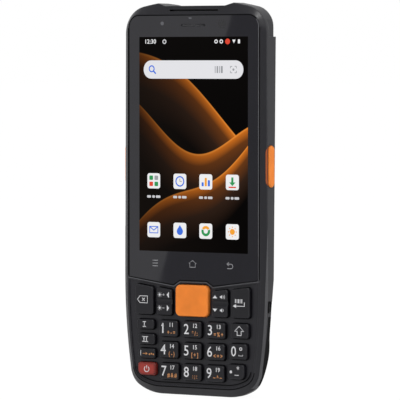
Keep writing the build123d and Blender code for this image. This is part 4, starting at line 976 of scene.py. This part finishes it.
def side_spot(side, depth, z, lift):
    """Point on the housing's side, seen from the right (1) or left (-1), lifted off the surface."""
    outside_x = 60.0
    start = Vector((side * outside_x, GLASS_Y + depth, z)) * MM
    spots = []
    for node in (NODES["front_housing"], NODES["rear_housing"]):
        turn = node.matrix_world.inverted()
        hit, spot, normal, _ = node.ray_cast(turn @ start, Vector((-side, 0, 0)))
        if hit:
            spots.append((node.matrix_world @ spot, normal))
    spot, normal = max(spots, key=lambda pair: side * pair[0].x)
    return spot + normal * lift * MM


def side_skin(name, side, rows, material):
    """Thin closed skin on the housing's side; each row is a height with its two depths."""
    across = max(3, round(max(high - low for _, low, high in rows) / SKIN_STEP))
    mesh = bmesh.new()
    layers = []
    for lift in (SKIN_PROUD, -SKIN_SUNK):
        layers.append([[mesh.verts.new(side_spot(side, low + (high - low) * i / across, z, lift))
                        for i in range(across + 1)] for z, low, high in rows])
    outer, inner = layers
    last = len(rows) - 1
    for r in range(last):
        for i in range(across):
            for grid in layers:
                mesh.faces.new([grid[r][i], grid[r][i + 1], grid[r + 1][i + 1], grid[r + 1][i]])
        for i in (0, across):
            mesh.faces.new([outer[r][i], outer[r + 1][i], inner[r + 1][i], inner[r][i]])
    for r in (0, last):
        for i in range(across):
            mesh.faces.new([outer[r][i], outer[r][i + 1], inner[r][i + 1], inner[r][i]])
    piece = add_object(name, mesh_data(name, mesh, [material]))
    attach(piece, "housing")


def paint_button_shade():
    """Painted shade: a darker orange strip on the bevel in front of the right side button, painted as
    the button's shaded flank.
    """
    half, straight, end_radius, bulge, steps = 7.6, 5.4, 2.4, 0.9, 16
    back = BUTTON_DEPTH - 2.1
    rows = []
    for up in heights(-half, half, steps):
        past = max(0.0, abs(up) - straight)
        share = math.sqrt(max(0.02, 1 - (past / end_radius) ** 2))
        rows.append((BUTTON_Z + up, back - bulge * share, back))
    side_skin("button_shade_right", 1, rows, ORANGE_SHADE)


def paint_side_shade():
    """Painted shade: a dark strip low on each side where the side turns into shade, and a dark sheet in
    front of the strap slot that paints its shade wider.
    """
    front, width, low, high, steps = 2.3, 3.8, 5.2, 33.0, 24
    bend_z, lean = 15.0, 0.6 / 16.5
    slot_shade_back, slot_shade_low, slot_shade_high, slot_shade_steps = 3.9, 34.5, 39.3, 4
    strip = []
    for z in heights(low, high, steps):
        start = front + lean * max(0.0, z - bend_z)
        strip.append((z, start, start + width))
    slot_shade_rows = [(z, front, slot_shade_back) for z in heights(slot_shade_low, slot_shade_high, slot_shade_steps)]
    for side, word in ((1, "right"), (-1, "left")):
        side_skin("side_shade_strip_" + word, side, strip, PAINTED_SIDE_SHADE)
        side_skin("slot_shade_" + word, side, slot_shade_rows, PAINTED_SHADE_INK)


def edge_bands():
    """Painted highlight: a lighter band on the outer part of the bevel, with more rows near the round
    corner.
    """
    low, high, taper_z, steps, crowding = 4.0, 68.0, 44.0, 48, 1.6
    back, width, narrowing = 1.93, 0.7, 0.6
    rows = []
    for i in range(steps + 1):
        z = low + (high - low) * (i / steps) ** crowding
        tapered = min(1.0, max(0.0, (z - taper_z) / (high - taper_z)))
        rows.append((z, back - (width - narrowing * tapered), back))
    for side, word in ((1, "right"), (-1, "left")):
        side_skin("edge_band_" + word, side, rows, PAINTED_HIGHLIGHT_PLASTIC)


# ---------------------------------------------------------------- studio


def area(name, place, target, size, power, size_y=None):
    """A rectangular lamp that looks at a point; places and sizes are in metres."""
    lamp = bpy.data.lights.new(name, "AREA")
    lamp.shape = "RECTANGLE"
    lamp.size = size
    lamp.size_y = size_y or size
    lamp.energy = power
    holder = add_object(name, lamp)
    holder.location = place
    holder.rotation_euler = (Vector(target) - Vector(place)).to_track_quat("-Z", "Y").to_euler()
    return holder


def sheet(name, corners, material):
    """A flat four-cornered object, with its corners in millimetres."""
    data = bpy.data.meshes.new(name)
    data.from_pydata([Vector(corner) * MM for corner in corners], [], [range(len(corners))])
    data.materials.append(material)
    return add_object(name, data)


def white_to_camera(tree, lit_shader, white_share, strength=1.0):
    """Mixes a shader with plain white where the camera, a mirror or glass looks straight at it."""
    rays = add_node(tree, "LightPath").outputs
    any_ray = rays["Is Camera Ray"]
    for name in ("Is Glossy Ray", "Is Transmission Ray"):
        any_ray = add_node(tree, "Math", any_ray, rays[name], operation="MAXIMUM").outputs[0]
    share = add_node(tree, "Math", any_ray, white_share, operation="MULTIPLY").outputs[0]
    glow = add_node(tree, "Emission")
    glow.inputs["Strength"].default_value = strength
    return add_node(tree, "MixShader", share, lit_shader, glow.outputs[0]).outputs[0]


def world():
    """Soft light from all round, plain white where it is looked at."""
    made = bpy.data.worlds.new("studio")
    made.use_nodes = True
    bpy.context.scene.world = made
    tree = made.node_tree
    tree.nodes.clear()
    soft = add_node(tree, "Background")
    soft.inputs["Strength"].default_value = 0.55
    output = add_node(tree, "OutputWorld")
    feed(tree, output.inputs["Surface"], white_to_camera(tree, soft.outputs[0], 1.0))


def ground():
    """Wide pale floor that keeps a faint shadow."""
    reach = 20000.0
    s = Shader("pale_floor")
    s.put(Base_Color=s.cloudy(s.noise(300.0), (0.80,) * 3, (0.84,) * 3), Roughness=0.7)
    s.show(white_to_camera(s.tree, s.surface.outputs[0], 0.92, 1.05))
    corners = [(-reach, -reach, 0), (reach, -reach, 0), (reach, reach, 0), (-reach, reach, 0)]
    floor = sheet("floor", corners, s.material)


def lamps():
    """Broad lights from the left, the right and the back, and two that only shiny faces catch."""
    centre, top_corner, right_edge = (0, 0, 0.08), (0.03, 0, 0.154), (0.034, 0, 0.06)
    key = area("key_light", (-0.75, -1.15, 0.95), centre, size=0.9, power=9.0)
    area("fill_light", (1.3, -0.35, 0.6), centre, size=0.8, power=5.0)
    top = area("top_light", (0.45, -0.34, 1.23), top_corner, size=0.14, power=7.0)
    back = area("back_light", (-0.6, 1.1, 0.9), centre, size=0.8, power=6.0)
    rim = area("rim_light", (1.35, -0.15, 0.10), right_edge, size=0.5, size_y=0.9, power=4.0)
    for lamp in (key, back):
        lamp.visible_glossy = False
    for lamp in (top, rim):
        lamp.visible_diffuse = False


def card(name, corners, level):
    """A screen seen only in reflections: it sets what a shiny face mirrors, and casts no shadow."""
    s = Shader(name)
    glow = s.node("Emission")
    glow.inputs["Strength"].default_value = level
    s.show(glow.outputs[0])
    piece = sheet(name, corners, s.material)
    piece.visible_camera = False
    piece.visible_diffuse = False
    piece.visible_shadow = False


def upright_card(name, start, end, low, high, level):
    """A rectangular card between two points of the floor plan and two heights."""
    card(name, [(*start, low), (*end, low), (*end, high), (*start, high)], level)


def reflections():
    """A grey card whose edge crosses the glass aslant, one high on the left, a dark one at the right."""
    far, low, high, side_x = -400.0, 3.0, 420.0, -110.0
    edge_x, edge_z, lean = -232.6, 155.0, 0.32
    edge = [(edge_x + (z - edge_z) * lean, far, z) for z in (high, low)]
    card("grey_card", edge + [(side_x, far, low), (side_x, far, high)], 0.45)
    upright_card("top_card", (-1100, -300), (-200, -1200), 400, 1500, 0.6)
    upright_card("dark_card", (1000, -1700), (2100, -1000), -600, 1500, 0.1)


def camera():
    """Camera fitted to the photograph: 33 degrees to the right, 2 degrees above."""
    right = Vector((0.8396, 0.5432, 0.0))
    up = Vector((-0.01985, 0.03068, 0.99933))
    back = right.cross(up)
    place = Vector((817.0, -1265.2, 134.2)) * MM
    data = bpy.data.cameras.new("camera")
    data.sensor_width = 36.0
    data.lens = 333.9
    data.clip_start = 0.01
    data.clip_end = 100.0
    turned = Matrix((right, up, back)).transposed().to_4x4()
    holder = add_object("camera", data)
    holder.matrix_world = Matrix.Translation(place) @ turned
    bpy.context.scene.camera = holder


# ---------------------------------------------------------------- build

bpy.context.scene.view_settings.view_transform = "Standard"
dress_nodes()
screen()
glass_marks()
low_groove_shade()
digit_legends()
other_legends()
paint_button_shade()
paint_side_shade()
edge_bands()
world()
ground()
lamps()
reflections()
camera()
